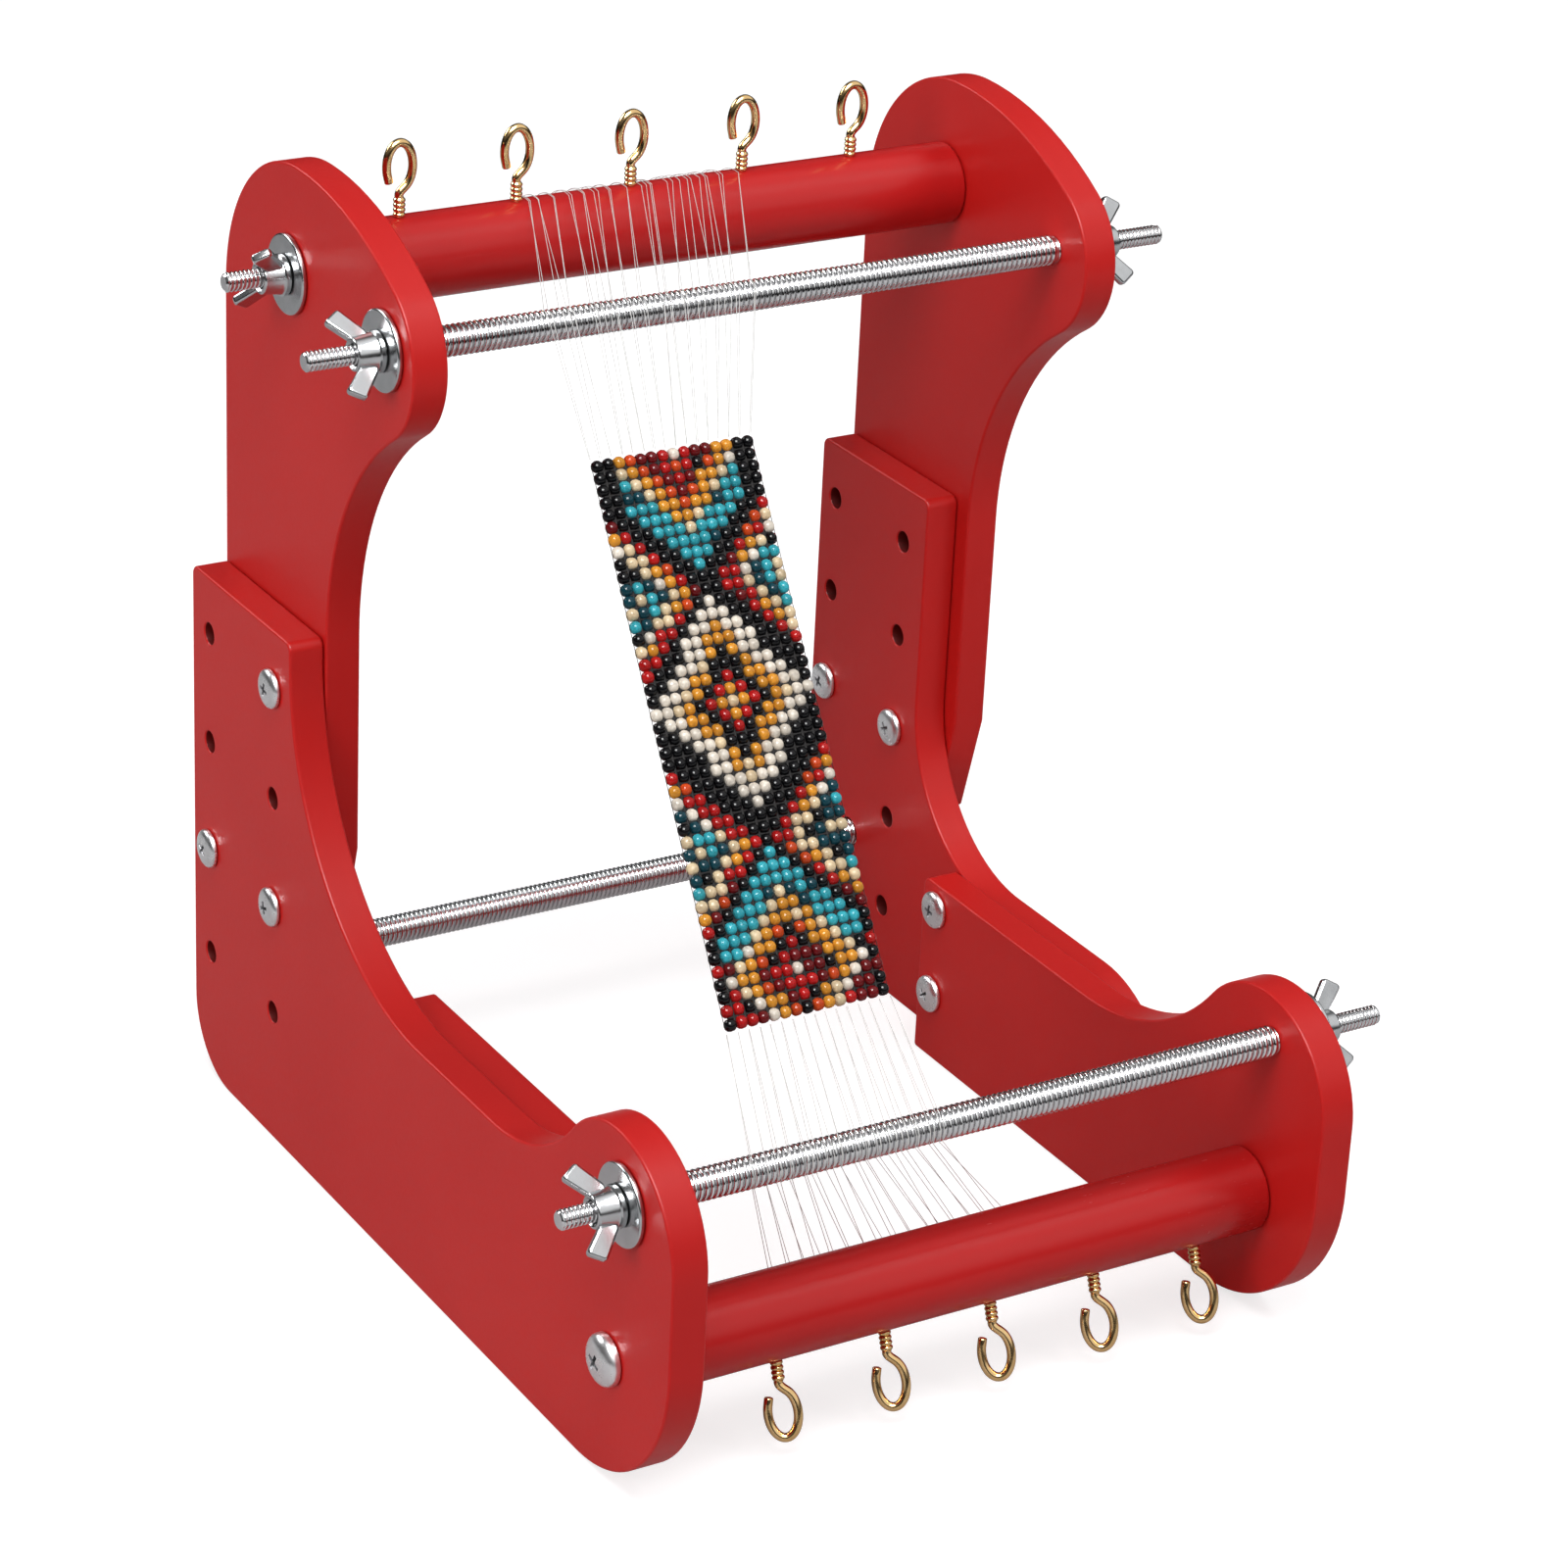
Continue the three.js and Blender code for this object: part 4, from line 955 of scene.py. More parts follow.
def washer_form():
    bore, rim, thick = STUD_BORE, WASHER_RADIUS, WASHER_THICKNESS
    profile = [(0.0, bore + 0.6), (0.0, rim - 1.0)]
    profile += rounded(0, rim - 1, 0, rim, thick, rim, 0.45)
    profile += rounded(0, rim, thick, rim, thick, rim - 1, 0.6)
    profile += [(thick, rim - 2.0), (thick, bore + 0.9)]
    profile += [(thick - 0.05, bore + 0.25), (thick - 0.3, bore), (0.3, bore), (0.0, bore + 0.3)]
    profile.append(profile[0])
    return turned(profile, WASHER_SIDES)


def wing_nut_form():
    """The nut about X, from the washer outwards, with its two wings up and down Z."""
    bore, waist, foot = STUD_BORE, NUT_BASE - 0.75, NUT_FLANGE + 0.9
    profile = [(0.0, bore + 0.5), (0.0, NUT_BASE - 0.9)]
    profile += rounded(0, NUT_BASE - 1, 0, NUT_BASE, NUT_FLANGE, NUT_BASE, 0.35, 3)
    profile += [(NUT_FLANGE, NUT_BASE - 0.02), (NUT_FLANGE + 0.35, NUT_BASE - 0.55), (foot, waist)]
    profile += rounded(foot, waist, NUT_HEIGHT, NUT_TOP, NUT_HEIGHT, bore, 0.7)
    profile += [(NUT_HEIGHT, bore + 0.7), (NUT_HEIGHT - 0.7, bore), (0.5, bore), (0.0, bore + 0.5)]
    form = turned(profile, NUT_SIDES)
    wing = eased_plate([(x, r) for r, x in WING_OUTLINE], WING_THICKNESS, 0.8, steps=3)
    # the plate's X becomes -Y, so that its outline stands along the nut's X and Z
    lay = Matrix(((0, 1, 0, 0), (-1, 0, 0, WING_THICKNESS / 2), (0, 0, 1, 0), (0, 0, 0, 1)))
    for turn in (0, math.pi):
        form.join(wing, Matrix.Rotation(turn, 4, "X") @ lay)
    return form


def add_wing_nut(name, side, face_x, place, wing_angle):
    """A washer and a wing nut on a board's face. side is -1 where they face left."""
    facing = Matrix.Rotation(math.pi, 4, "Z") if side < 0 else Matrix.Identity(4)
    washer_x = face_x + side * SEAM
    nut_x = washer_x + side * (WASHER_THICKNESS + SEAM)
    make_piece(f"{name}_washer_plated", washer_form(), Matrix.Translation((washer_x, *place)) @ facing,
               [ZINC], "frame", f"{name}_washer", CREASE)
    turn = Matrix.Rotation(-math.radians(wing_angle), 4, "X")
    make_piece(f"{name}_wing_nut_plated", wing_nut_form(),
               Matrix.Translation((nut_x, *place)) @ turn @ facing,
               [ZINC], f"{name}_nut", f"{name}_wing_nut", CREASE)


def make_wing_nuts():
    add_wing_nut("upper_rod_left", -1, LEFT_INNER_X, UPPER_ROD, 44)
    add_wing_nut("upper_rod_right", 1, RIGHT_ARM_X + BOARD, UPPER_ROD, 28)
    add_wing_nut("lower_rod_left", -1, LEFT_BASE_X, LOWER_ROD, 44)
    add_wing_nut("lower_rod_right", 1, FOOT_BOARD_X + BOARD, LOWER_ROD, 28)
    add_wing_nut("upper_dowel", -1, LEFT_INNER_X, UPPER_DOWEL, -38)


# Screws

RECESS_REACH, RECESS_WIDTH, RECESS_DEPTH = 0.36, 0.085, 0.6  # as shares of the head
CROWN_FLAT, CROWN_DEPTH = 0.2, 0.72
RECESS_ARM = ((-1, -1), (1, -1), (1, 1), (-1, 1))
SCREW_TURNS = (12, 38, 74, 20, 61, 5, 49, 30, 66)  # degrees; no two recesses lie alike


def screw_mesh(head, height, shank, length, turn):
    """A pan-head screw with its head at -X and a cross recess, cut into the head."""
    profile = [(-height, 0.0), (-height, head * CROWN_FLAT)]
    for k in range(1, 9):
        t = math.radians(90 * k / 8)
        profile.append((-height + height * CROWN_DEPTH * (1 - math.cos(t)) ** 1.15,
                        head * (CROWN_FLAT + (1 - CROWN_FLAT) * math.sin(t) ** 1.1)))
    profile += [(-0.25, head), (0.0, head - 0.3), (0.0, shank + 0.3), (0.0, shank),
                (length - shank, shank), (length, 0.0)]
    wide, narrow, deep = head * RECESS_REACH, head * RECESS_WIDTH, height * RECESS_DEPTH
    arm = Form()
    loft(arm, [[(x, y * wide * s, z * narrow * s) for y, z in RECESS_ARM]
               for x, s in ((-height - 1.0, 1.12), (-height, 1.0), (-height + deep, 0.42))], True, 1, False)
    cross = Form()
    for angle in (0.0, 90.0):
        cross.join(arm, Matrix.Rotation(math.radians(angle + turn), 4, "X"))
    blank = loose_object("screw", turned(profile, HEAD_SIDES))
    tool = loose_object("recess", cross)
    tool.data.polygons.foreach_set("material_index", [1] * len(tool.data.polygons))
    cut = blank.modifiers.new("cut", "BOOLEAN")
    cut.operation = "DIFFERENCE"
    cut.solver = "EXACT"
    cut.use_self = True
    cut.object = tool
    evaluated = blank.evaluated_get(bpy.context.evaluated_depsgraph_get())
    mesh = bpy.data.meshes.new_from_object(evaluated)
    for thing in (blank, tool):
        bpy.data.objects.remove(thing)
    return mesh


def loose_object(name, form):
    """A closed form in mm as an object that only helps, with its faces outwards."""
    mesh = bpy.data.meshes.new(name)
    mesh.from_pydata(form.corners, [], form.faces)
    mesh.materials.append(HEAD_PLATE)
    mesh.materials.append(RECESS)
    mesh.validate()
    if not facing_out(mesh):
        mesh.flip_normals()
    made = bpy.data.objects.new(name, mesh)
    bpy.context.scene.collection.objects.link(made)
    return made


def facing_out(mesh):
    """True where a closed mesh's faces point outwards."""
    volume = 0.0
    for face in mesh.polygons:
        a = mesh.vertices[face.vertices[0]].co
        for i in range(1, len(face.vertices) - 1):
            b = mesh.vertices[face.vertices[i]].co
            c = mesh.vertices[face.vertices[i + 1]].co
            volume += a.dot(b.cross(c))
    return volume > 0


def add_screw(name, mesh, x, place, flip, body):
    """Places a screw. Its mesh is in mm, with its head behind X = 0."""
    move = Matrix.Scale(MM, 4) @ Matrix.Translation((x + SHIFT, *place))
    if flip:
        move = move @ Matrix.Rotation(math.pi, 4, "Z")
    mesh.transform(move)
    smooth_faces(mesh)
    mesh.set_sharp_from_angle(angle=math.radians(CREASE))
    mesh.update()
    settle(mesh, f"{name}_plated", body, name)


def make_screws():
    length = BOARD + 2 * SEAM + BITE
    turns = iter(SCREW_TURNS)
    for name, face_x, places, flip in (
            ("left_arm_screw", LEFT_BASE_X - SEAM, LEFT_ARM_SCREWS, False),
            ("right_arm_screw", RIGHT_PANEL_X - SEAM, RIGHT_ARM_SCREWS, False),
            ("foot_board_screw", FOOT_BOARD_X - SEAM, FOOT_BOARD_SCREWS, False),
            ("doubler_screw", LEFT_INNER_X + BOARD + SEAM, DOUBLER_SCREWS, True)):
        for i, place in enumerate(places):
            mesh = screw_mesh(HEAD, HEAD_HEIGHT, SHANK, length, next(turns))
            add_screw(f"{name}_{i + 1}", mesh, face_x, place, flip, "frame")
    length = SEAM + BOARD + END_BORE - STUD_RADIUS
    right_face = FOOT_BOARD_X + BOARD
    for name, side, face_x, place, turn, body in (
            ("upper_dowel_screw", 1, RIGHT_ARM_X + BOARD, UPPER_DOWEL, 25, "upper_dowel_assembly"),
            ("lower_dowel_screw_left", -1, LEFT_BASE_X, LOWER_DOWEL, 24, "lower_dowel_assembly"),
            ("lower_dowel_screw_right", 1, right_face, LOWER_DOWEL, 55, "lower_dowel_assembly")):
        mesh = screw_mesh(BIG_HEAD, BIG_HEAD_HEIGHT, STUD_RADIUS, length, turn)
        add_screw(name, mesh, face_x + side * SEAM, place, side > 0, body)


# Dowels and hooks

def dowel_form(start, end):
    bore = STUD_BORE
    profile = [(start + END_BORE, 0), (start + END_BORE, bore), (start + 0.4, bore), (start, bore + 0.4)]
    profile += rounded(start, bore, start, DOWEL_RADIUS, end, DOWEL_RADIUS, 0.9)
    profile += rounded(start, DOWEL_RADIUS, end, DOWEL_RADIUS, end, bore, 0.9)
    profile += [(end, bore + 0.4), (end - 0.4, bore), (end - END_BORE, bore), (end - END_BORE, 0)]
    return turned(profile, DOWEL_SIDES)


def ring_point(angle):
    return Vector((RING_WIDE * math.cos(angle), 0, RING_HEIGHT + RING_TALL * math.sin(angle)))


def hook_form():
    """A screw hook that points along its own Z, with height 0 on the dowel's surface."""
    neck, tip = math.radians(NECK_ANGLE), math.radians(TIP_ANGLE)
    top = ring_point(neck)
    fall = Vector((RING_WIDE * math.sin(neck), 0, -RING_TALL * math.cos(neck))).normalized()
    length = (top.z - COLLAR_HEIGHT) / 2
    bends = [Vector((0, 0, COLLAR_HEIGHT)), Vector((-HOOK_WIRE / 2, 0, COLLAR_HEIGHT + length * 0.8)),
             top + fall * length, top]
    points = [Vector((0, 0, -HOOK_SCREW)), Vector((0, 0, COLLAR_HEIGHT - 1.5))]
    for i in range(NECK_STEPS + 1):
        t = i / NECK_STEPS
        points.append(bends[0] * (1 - t) ** 3 + bends[1] * 3 * t * (1 - t) ** 2
                      + bends[2] * 3 * t ** 2 * (1 - t) + bends[3] * t ** 3)
    for i in range(1, RING_STEPS + 1):
        points.append(ring_point(neck + (tip - neck) * i / RING_STEPS))
    points.append(points[-1] + (points[-1] - points[-2]).normalized() * TIP_STRAIGHT)
    profile = [(0.1, 0.0), (0.1, COLLAR_GROOVE)]
    rise = COLLAR_HEIGHT / COLLAR_RIDGES
    for i in range(COLLAR_RIDGES):
        for k in range(1, RIDGE_STEPS):
            share = k / RIDGE_STEPS
            swell = math.sin(math.pi * share) ** 0.8
            profile.append(((i + share) * rise, COLLAR_GROOVE + (COLLAR_RADIUS - COLLAR_GROOVE) * swell))
        profile.append(((i + 1) * rise, COLLAR_GROOVE))
    profile += [(COLLAR_HEIGHT + 0.5, HOOK_WIRE * 0.9), (COLLAR_HEIGHT + 0.5, 0.0)]
    collar = turned(profile, COLLAR_SIDES)
    return tube(points, HOOK_WIRE, WIRE_SIDES).join(collar, Matrix.Rotation(-math.pi / 2, 4, "Y"))


def add_dowel(name, start, end, place, middle, spacing, pointing, twist):
    """A dowel and its hooks. pointing turns the hooks about the dowel, away from upright,
    and twist turns each hook about its own screw."""
    body = f"{name}_dowel_assembly"
    centre = Matrix.Translation((0, *place))
    make_piece(f"{name}_dowel_painted", dowel_form(start, end), centre, [DOWEL_PAINT],
               body, f"{name}_dowel", CREASE)
    for i in range(HOOKS):
        x = middle + (i - (HOOKS - 1) / 2) * spacing
        move = (centre @ Matrix.Rotation(pointing, 4, "X")
                @ Matrix.Translation((x, 0, DOWEL_RADIUS)) @ Matrix.Rotation(twist, 4, "Z"))
        make_piece(f"{name}_hook_{i + 1}_polished", hook_form(), move, [BRASS],
                   body, f"{name}_hook_{i + 1}", WIRE_CREASE)


def make_dowels():
    add_dowel("upper", LEFT_INNER_X + BOARD + SEAM, RIGHT_ARM_X - SEAM, UPPER_DOWEL,
              UPPER_HOOK_MIDDLE, UPPER_HOOK_SPACING, 0, 0)
    add_dowel("lower", LEFT_BASE_X + BOARD + SEAM, FOOT_BOARD_X - SEAM, LOWER_DOWEL,
              LOWER_HOOK_MIDDLE, LOWER_HOOK_SPACING,
              math.pi - math.radians(LOWER_HOOK_LEAN), math.radians(LOWER_HOOK_TWIST))


# Warp and beadwork

def touch_line(start, start_radius, end, end_radius):
    """The line that touches two circles. A negative radius puts the touch on the other side."""
    start, end = Vector(start), Vector(end)
    along = end - start
    distance = along.length
    along.normalize()
    lean = (start_radius - end_radius) / distance
    normal = Vector((along.y, -along.x)) * math.sqrt(1 - lean ** 2) + along * lean
    return start + normal * start_radius, end + normal * end_radius, normal


def around(centre, radius, start, end, steps, first=1):
    """Points on a circle about a bar, with its last end left out, and its first one too
    unless first is 0."""
    return [Vector((centre[0] + radius * math.cos(start + (end - start) * i / steps),
                    centre[1] + radius * math.sin(start + (end - start) * i / steps)))
            for i in range(first, steps)]


ON_ROD, ON_DOWEL = ROD_RADIUS + WARP_SPACE, DOWEL_RADIUS + WARP_SPACE
UPPER_RUN = touch_line(UPPER_DOWEL, ON_DOWEL, UPPER_ROD, ON_ROD)
MAIN_RUN = touch_line(UPPER_ROD, ON_ROD, LOWER_ROD, ON_ROD)
LOWER_RUN = touch_line(LOWER_ROD, ON_ROD, LOWER_DOWEL, -ON_DOWEL)
DOWN = (MAIN_RUN[1] - MAIN_RUN[0]).normalized()
FACE = MAIN_RUN[2]
WEAVE_LENGTH = BEAD_ROWS * ROW_PITCH
SLANT = (WEAVE_BOTTOM - WEAVE_TOP) / WEAVE_LENGTH
WARPS = BEAD_COLUMNS + 1


def angle_of(normal):
    return math.atan2(normal.y, normal.x)


def fan(i, middle, spacing):
    return middle + (i - (WARPS - 1) / 2) * spacing


def along_warp(distance):
    return MAIN_RUN[0] + DOWN * distance


def grown_strands(paths, radius, material=THREAD):
    """Round strands along paths, which are lists of points in mm."""
    mesh = bpy.data.meshes.new("paths")
    corners, edges = [], []
    for path in paths:
        first = len(corners)
        corners.extend(in_metres(*point) for point in path)
        edges.extend((first + i, first + i + 1) for i in range(len(path) - 1))
    mesh.from_pydata(corners, edges, [])
    mesh = grow(mesh, STRANDS, **{
        "Strand radius": radius * MM, "Strand sides": STRAND_SIDES, "Material": material})
    smooth_faces(mesh)
    return mesh


def beside_hooks(x, middle, spacing):
    """Keeps a thread on a dowel clear of the nearest hook's collar."""
    hook = middle + spacing * round((x - middle) / spacing)
    return hook + math.copysign(max(abs(x - hook), HOOK_CLEARANCE), x - hook)


def strand_places(sway, thread, dowel, hooks, rod, weave_middle):
    """Where a strand lies along the dowel, the rod and the weave, and how far it stands
    off the bars. dowel and rod are (middle, spacing, sway), hooks is (middle, spacing)."""
    def across(middle, spacing, loose):
        return fan(thread, middle, spacing) + sway.uniform(-loose, loose)

    return (beside_hooks(across(*dowel), *hooks), across(*rod),
            across(weave_middle, COLUMN_PITCH, WEAVE_SWAY), sway.uniform(-STRAND_LIFT, STRAND_LIFT))


def at(x, points):
    return [(x, *point) for point in points]


def make_warp():
    sway = random.Random(11)
    strands = [k // STRANDS_PER_THREAD for k in range(STRANDS_PER_THREAD * WARPS)]
    upper, main, lower = (angle_of(run[2]) for run in (UPPER_RUN, MAIN_RUN, LOWER_RUN))

    top = along_warp(WEAVE_START - WEAVE_GAP)
    hooks = (UPPER_HOOK_MIDDLE, UPPER_HOOK_SPACING)
    paths = []
    for thread in strands:
        dowel_x, rod_x, weave_x, out = strand_places(
            sway, thread, (UPPER_HOOK_MIDDLE, UPPER_DOWEL_FAN, UPPER_DOWEL_SWAY), hooks,
            (UPPER_ROD_MIDDLE, UPPER_ROD_FAN, UPPER_ROD_SWAY), WEAVE_TOP)
        start = math.radians(sway.uniform(*WRAP_START))
        paths.append(
            at(dowel_x, around(UPPER_DOWEL, ON_DOWEL + out, start, upper, 20, 0) + [UPPER_RUN[0]])
            + at(rod_x, [UPPER_RUN[1]] + around(UPPER_ROD, ON_ROD + out, upper, main, 8) + [MAIN_RUN[0]])
            + at(weave_x, [top]))
    settle(grown_strands(paths, THREAD_RADIUS), "upper_warp_threads_spun", "frame",
           "upper_warp_threads")

    bottom = along_warp(WEAVE_START + WEAVE_LENGTH + WEAVE_GAP)
    hooks = (LOWER_HOOK_MIDDLE, LOWER_HOOK_SPACING)
    spacing = LOWER_HOOK_SPACING / THREADS_PER_HOOK
    middle = LOWER_HOOK_MIDDLE - LOWER_HOOK_SPACING + 2 * spacing
    paths = []
    for thread in strands:
        dowel_x, rod_x, weave_x, out = strand_places(
            sway, thread, (middle, spacing, LOWER_DOWEL_SWAY), hooks,
            (LOWER_ROD_MIDDLE, LOWER_ROD_FAN, LOWER_ROD_SWAY), WEAVE_BOTTOM)
        on_rod = around(LOWER_ROD, ON_ROD + out, main, lower + 2 * math.pi, 12)
        on_dowel = around(LOWER_DOWEL, ON_DOWEL + out, lower + math.pi, math.radians(WRAP_END), 14)
        paths.append(at(weave_x, [bottom]) + at(rod_x, [MAIN_RUN[1]] + on_rod + [LOWER_RUN[0]])
                     + at(dowel_x, [LOWER_RUN[1]] + on_dowel))
    settle(grown_strands(paths, THREAD_RADIUS), "lower_warp_threads_spun", "frame",
           "lower_warp_threads")


# The beads' colours, and the rings of distance that each diamond is made of
BLACK, CREAM, WHITE = (0.004, 0.004, 0.005), (0.76, 0.60, 0.38), (0.80, 0.73, 0.63)
AMBER, ORANGE = (0.72, 0.30, 0.03), (0.60, 0.065, 0.012)
RED, DARK_RED = (0.46, 0.010, 0.010), (0.15, 0.006, 0.008)
TURQUOISE, DEEP_TEAL = (0.040, 0.40, 0.48), (0.006, 0.050, 0.070)
MIXED_RED = (RED, RED, RED, ORANGE, DARK_RED)
MIDDLE_RINGS = (
    (0.8, (CREAM,)), (1.7, (AMBER,)), (2.7, (RED,)), (3.8, (BLACK,)),
    (5.6, (AMBER, AMBER, AMBER, CREAM)), (7.6, (WHITE,)))
END_RINGS = (
    (0.5, (WHITE,)), (2.5, MIXED_RED), (3.5, (BLACK, BLACK, DARK_RED)), (4.5, (AMBER, ORANGE)),
    (6.5, (AMBER, AMBER, CREAM)), (9.6, (TURQUOISE,) * 9 + (DEEP_TEAL,)))
SIDE_RINGS = (
    (1.2, (CREAM, DEEP_TEAL)), (3.2, (DEEP_TEAL, DEEP_TEAL, TURQUOISE, BLACK)),
    (4.2, (CREAM, CREAM, WHITE)), (5.2, (AMBER, AMBER, CREAM, RED)), (6.2, MIXED_RED))

# Rows are counted from the top, and widths from the middle column
MIDDLE_DIAMOND, MIDDLE_STEEPNESS = 20, 0.9
TOP_DIAMOND, TOP_DIAMOND_END, TOP_DIAMOND_WIDTH = 0, 12, 5.5
BOTTOM_DIAMOND, BOTTOM_DIAMOND_START, BOTTOM_DIAMOND_WIDTH = 41, 30, 6.5
OUTLINE_LOW, OUTLINE_HIGH, OUTLINE_WIDTH = 5.5, 6.5, 2.5
LAST_DIAMOND_ROW, BORDER_START = 39, 38
LEFT_SIDE_ROW, RIGHT_SIDE_ROW, LOWER_SIDE_ROW = 11, 10.5, 31


def ring_shade(rings, distance, chance):
    for limit, shades in rings:
        if distance < limit:
            return chance.choice(shades)
    return None


def bead_shade(row, across, chance):
    """The pattern: three diamonds down the middle, and half diamonds on both edges."""
    wide = abs(across)
    shade = ring_shade(MIDDLE_RINGS, wide + MIDDLE_STEEPNESS * abs(row - MIDDLE_DIAMOND), chance)
    if shade:
        return shade
    end = wide + min(row - TOP_DIAMOND, abs(row - BOTTOM_DIAMOND))
    if (row < TOP_DIAMOND_END and wide < TOP_DIAMOND_WIDTH
            or row > BOTTOM_DIAMOND_START and wide < BOTTOM_DIAMOND_WIDTH):
        shade = ring_shade(END_RINGS, end, chance)
        if OUTLINE_LOW < end < OUTLINE_HIGH and wide > OUTLINE_WIDTH:
            shade = chance.choice((CREAM, WHITE))
        if row > LAST_DIAMOND_ROW and end > OUTLINE_HIGH:
            shade = chance.choice((RED, DARK_RED, BLACK))
        if shade:
            return shade
    if row > BORDER_START:
        return chance.choice((BLACK, BLACK, BLACK, DARK_RED, RED))
    from_edge = (BEAD_COLUMNS - 1) / 2 - wide
    side_row = LEFT_SIDE_ROW if across < 0 else RIGHT_SIDE_ROW
    from_side = from_edge + min(abs(row - side_row), abs(row - LOWER_SIDE_ROW))
    return ring_shade(SIDE_RINGS, from_side, chance) or BLACK


def bead_places():
    """Each bead's place in metres and its colour, row by row."""
    chance = random.Random(29)
    places, colours = [], []
    for row in range(BEAD_ROWS):
        distance = (row + 0.5) * ROW_PITCH
        middle = WEAVE_TOP + SLANT * distance + chance.uniform(-ROW_SWAY, ROW_SWAY)
        spot = along_warp(WEAVE_START + distance)
        for column in range(BEAD_COLUMNS):
            across = column - (BEAD_COLUMNS - 1) / 2
            x = middle + across * COLUMN_PITCH + chance.uniform(-BEAD_SWAY, BEAD_SWAY)
            off = chance.uniform(-BEAD_DRIFT, BEAD_DRIFT)
            lift = chance.uniform(*BEAD_LIFT)
            places.append(in_metres(x, *(spot + DOWN * off + FACE * lift)))
            shade = bead_shade(row, across, chance)
            light = chance.uniform(*BEAD_LIGHT)
            colours.append([min(1.0, c * light) for c in shade] + [1.0])
    return places, colours


def make_beadwork():
    places, colours = bead_places()
    mesh = bpy.data.meshes.new("places")
    mesh.from_pydata(places, [], [])
    kept = mesh.attributes.new("bead_colour", "FLOAT_COLOR", "POINT")
    kept.data.foreach_set("color", [c for colour in colours for c in colour])
    beads = grow(mesh, BEADS, **{
        "Bead radius": BEAD_RADIUS * MM, "Bead length": BEAD_LENGTH * MM,
        "Bead sides": BEAD_SIDES, "Bead rings": BEAD_RINGS, "Roundness": BEAD_ROUNDNESS,
        "Size spread": BEAD_SIZE_SPREAD, "Lean spread": BEAD_LEAN_SPREAD, "Seed": BEAD_SEED,
        "Material": BEAD_GLASS})

    warps, wefts = [], []
    for i in range(WARPS):
        offset = fan(i, 0, COLUMN_PITCH)
        warps.append([(WEAVE_TOP + SLANT * d + offset, *along_warp(WEAVE_START + d))
                      for d in (WARP_INSET, WEAVE_LENGTH - WARP_INSET)])
    half = BEAD_COLUMNS * COLUMN_PITCH / 2 - WEFT_INSET
    for row in range(1, BEAD_ROWS):
        x = WEAVE_TOP + SLANT * row * ROW_PITCH
        spot = along_warp(WEAVE_START + row * ROW_PITCH)
        wefts.append([(x - half, *spot), (x + half, *spot)])
    # The thick inner strands paint shade into the gaps between the beads; the two outer warps are thin
    # strands of the same dark colour
    inner = grown_strands(warps[1:-1] + wefts, GAP_SHADE_RADIUS, DARK_THREAD_AND_GAP_SHADE)
    outer = grown_strands([warps[0], warps[-1]], THREAD_RADIUS, DARK_THREAD_AND_GAP_SHADE)

    holder = bpy.data.objects.new("beadwork_strip_woven", beads)
    joined = [holder, bpy.data.objects.new("inner", inner), bpy.data.objects.new("outer", outer)]
    for thing in joined:
        bpy.context.scene.collection.objects.link(thing)
    with bpy.context.temp_override(active_object=holder, selected_editable_objects=joined,
                                   object=holder, selected_objects=joined):
        bpy.ops.object.join()
    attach(holder, "frame")
    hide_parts("beadwork_strip")


# Studio, in metres

CAMERA_PLACE = (-0.6740, -1.0779, 0.7233)
CAMERA_AZIMUTH, CAMERA_ELEVATION, CAMERA_ROLL = -31.8, 24.83, 2.84
SENSOR = 36
FOCAL_LENGTH = SENSOR * 4856.6 / 1600  # the photograph's focal length and width in pixels

FLOOR_HALF = 1.6
FLOOR_GREY, FLOOR_ROUGHNESS, FLOOR_SPECULAR = 0.43, 0.75, 0.2
FLOOR_SEEN = 0.72  # how brightly the camera sees the floor, beside the light that falls on it
FLOOR_MIRRORED = {"From Min": -0.45, "From Max": -0.05, "To Min": 0.14, "To Max": 0.0}

WORLD_GREY = (0.46, 0.46, 0.47, 1)
PANEL_TOWARD = (0.35, -0.50, 0.79)
PANEL_EDGE = {"From Min": 0.45, "From Max": 0.78, "To Min": 0.12, "To Max": 1.0}
HORIZON_EDGE = {"From Min": 0.10, "From Max": 0.36, "To Min": 0.05, "To Max": 1.0}

# Name, place, the height that the lamp is aimed at, size, power, and whether it gleams
LAMPS = (
    ("key_left", (-0.40, -0.60, 1.75), 0.12, (0.8, 0.8), 13, False),
    ("key_right", (0.85, -0.45, 1.6), 0.12, (0.5, 0.5), 6, False),
    ("front_right", (1.2, -1.6, 1.3), 0.12, (0.8, 1.0), 6, False),
    ("left_fill", (-1.8, -0.4, 0.9), 0.15, (0.9, 1.2), 14, False),
    ("front_gleam", (-0.48, -0.77, 1.70), 0.15, (1.0, 1.0), 84, True),
    ("rear_gleam", (-0.85, 1.22, 1.10), 0.15, (0.9, 0.6), 15, True))


def make_camera():
    azimuth, elevation, roll = (
        math.radians(angle) for angle in (CAMERA_AZIMUTH, CAMERA_ELEVATION, CAMERA_ROLL))
    away = Vector((math.sin(azimuth) * math.cos(elevation), -math.cos(azimuth) * math.cos(elevation),
                   math.sin(elevation)))
    right = (-away).cross(Vector((0, 0, 1))).normalized()
    up = right.cross(-away)
    across = right * math.cos(roll) + up * math.sin(roll)
    upright = up * math.cos(roll) - right * math.sin(roll)
    data = bpy.data.cameras.new("photo_view")
    data.sensor_width = SENSOR
    data.lens = FOCAL_LENGTH
    data.clip_start, data.clip_end = 0.05, 50
    camera = bpy.data.objects.new("photo_view", data)
    camera.matrix_world = Matrix.Translation(CAMERA_PLACE) @ Matrix(
        (across, upright, away)).transposed().to_4x4()
    bpy.context.scene.collection.objects.link(camera)
    bpy.context.scene.camera = camera


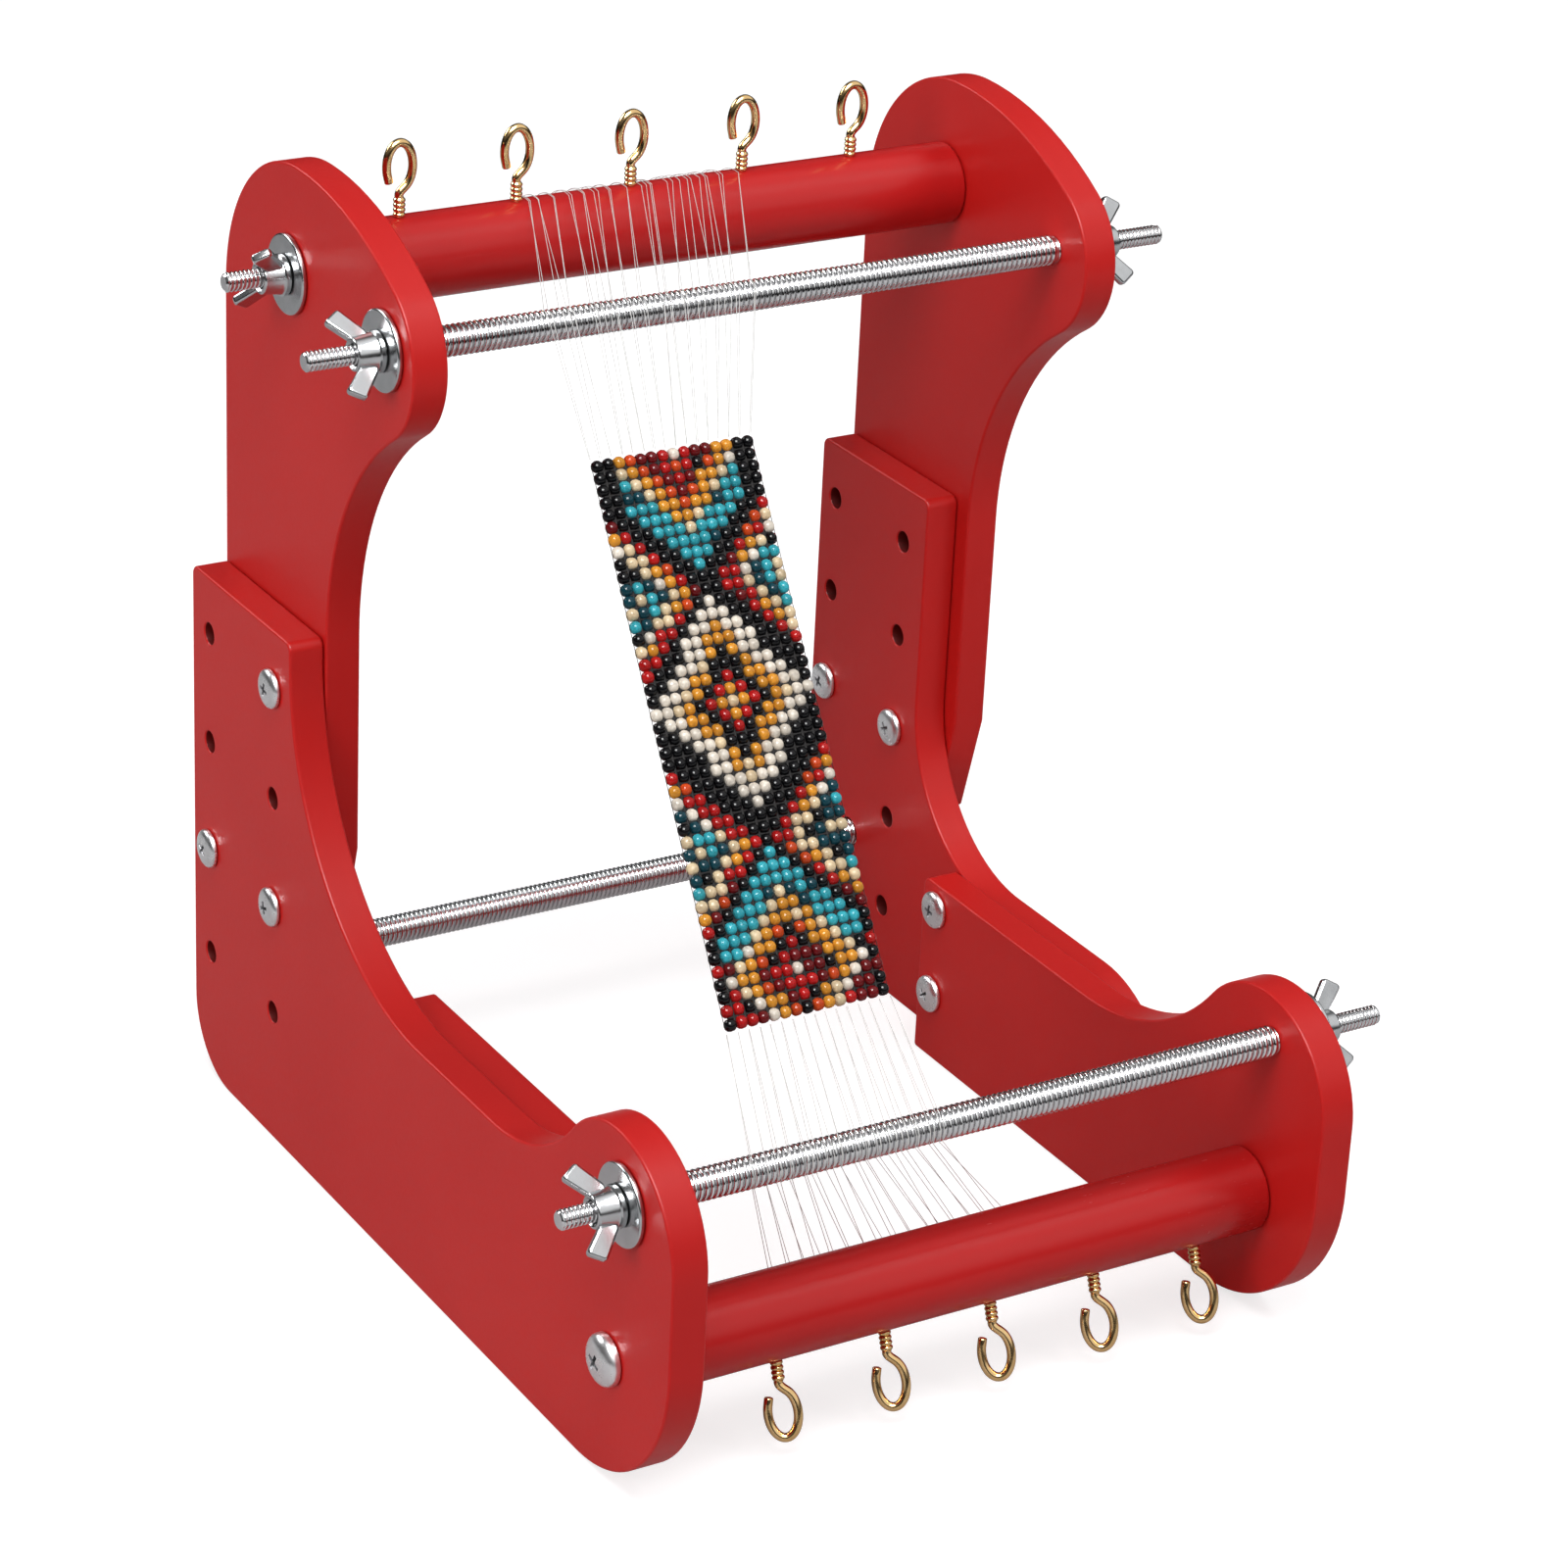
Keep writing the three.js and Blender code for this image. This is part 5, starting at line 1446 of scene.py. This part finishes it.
def make_floor():
    """A pale floor. Reflections see it bright in front of the loom, and dark behind it."""
    mesh = bpy.data.meshes.new("floor")
    corners = ((-1, -1), (1, -1), (1, 1), (-1, 1))
    mesh.from_pydata([(x * FLOOR_HALF, y * FLOOR_HALF, 0) for x, y in corners], [], [(0, 1, 2, 3)])
    floor = bpy.data.objects.new("floor", mesh)
    bpy.context.scene.collection.objects.link(floor)
    material, tree, shader = new_material("white_floor")
    shader["Base Color"].default_value = (FLOOR_GREY, FLOOR_GREY, FLOOR_GREY, 1)
    shader["Roughness"].default_value = FLOOR_ROUGHNESS
    shader["Specular IOR Level"].default_value = FLOOR_SPECULAR
    shader["Emission Color"].default_value = (1, 1, 1, 1)
    ray = put(tree, "ShaderNodeLightPath").outputs
    where = put(tree, "ShaderNodeTexCoord").outputs["Object"]
    parts = put(tree, "ShaderNodeSeparateXYZ", {0: where}).outputs
    front = put(tree, "ShaderNodeMapRange", {"Value": parts["Y"], **FLOOR_MIRRORED})
    mirrored = maths(tree, "MULTIPLY", ray["Is Glossy Ray"], front.outputs["Result"])
    seen = maths(tree, "MULTIPLY", ray["Is Camera Ray"], FLOOR_SEEN)
    tree.links.new(maths(tree, "MAXIMUM", seen, mirrored), shader["Emission Strength"])
    mesh.materials.append(material)


def make_world():
    """White to the camera, plain grey as light, and in reflections a large white panel
    above the front over a dark horizon."""
    world = bpy.data.worlds.new("studio")
    bpy.context.scene.world = world
    world.use_nodes = True
    tree = world.node_tree
    tree.nodes.clear()
    ray = put(tree, "ShaderNodeLightPath").outputs
    where = put(tree, "ShaderNodeTexCoord").outputs["Generated"]
    parts = put(tree, "ShaderNodeSeparateXYZ", {0: where}).outputs
    toward = put(tree, "ShaderNodeVectorMath", {
        0: where, 1: Vector(PANEL_TOWARD).normalized()}, operation="DOT_PRODUCT")
    panel, horizon = (
        put(tree, "ShaderNodeMapRange", {"Value": value, **edge},
            interpolation_type="SMOOTHSTEP").outputs["Result"]
        for value, edge in ((toward.outputs["Value"], PANEL_EDGE), (parts["Z"], HORIZON_EDGE)))
    level = maths(tree, "MULTIPLY", panel, horizon)
    grey = put(tree, "ShaderNodeCombineXYZ", {axis: level for axis in "XYZ"})
    plain, backdrop, mirrored = (
        put(tree, "ShaderNodeBackground", {"Color": colour}).outputs[0]
        for colour in (WORLD_GREY, (1, 1, 1, 1), grey.outputs[0]))
    unseen = put(tree, "ShaderNodeMixShader", {0: ray["Is Glossy Ray"], 1: plain, 2: mirrored})
    direct = maths(tree, "MAXIMUM", ray["Is Camera Ray"], ray["Is Transmission Ray"])
    shown = put(tree, "ShaderNodeMixShader", {0: direct, 1: unseen.outputs[0], 2: backdrop})
    put(tree, "ShaderNodeOutputWorld", {"Surface": shown.outputs[0]})


def make_lamps():
    """Soft lamps. A gleam lamp shows only as a reflection, and the others only light."""
    for name, place, aim, size, power, gleam in LAMPS:
        data = bpy.data.lights.new(name, "AREA")
        data.shape = "RECTANGLE"
        data.size, data.size_y = size
        data.energy = power
        lamp = bpy.data.objects.new(name, data)
        lamp.location = place
        lamp.rotation_mode = "QUATERNION"
        lamp.rotation_quaternion = (Vector((0, 0, aim)) - Vector(place)).to_track_quat("-Z", "Y")
        lamp.visible_glossy = gleam
        lamp.visible_diffuse = not gleam
        bpy.context.scene.collection.objects.link(lamp)


make_camera()
make_boards()
make_rods()
make_wing_nuts()
make_screws()
make_dowels()
make_warp()
make_beadwork()
make_floor()
make_world()
make_lamps()

bpy.context.scene.view_settings.view_transform = "Standard"
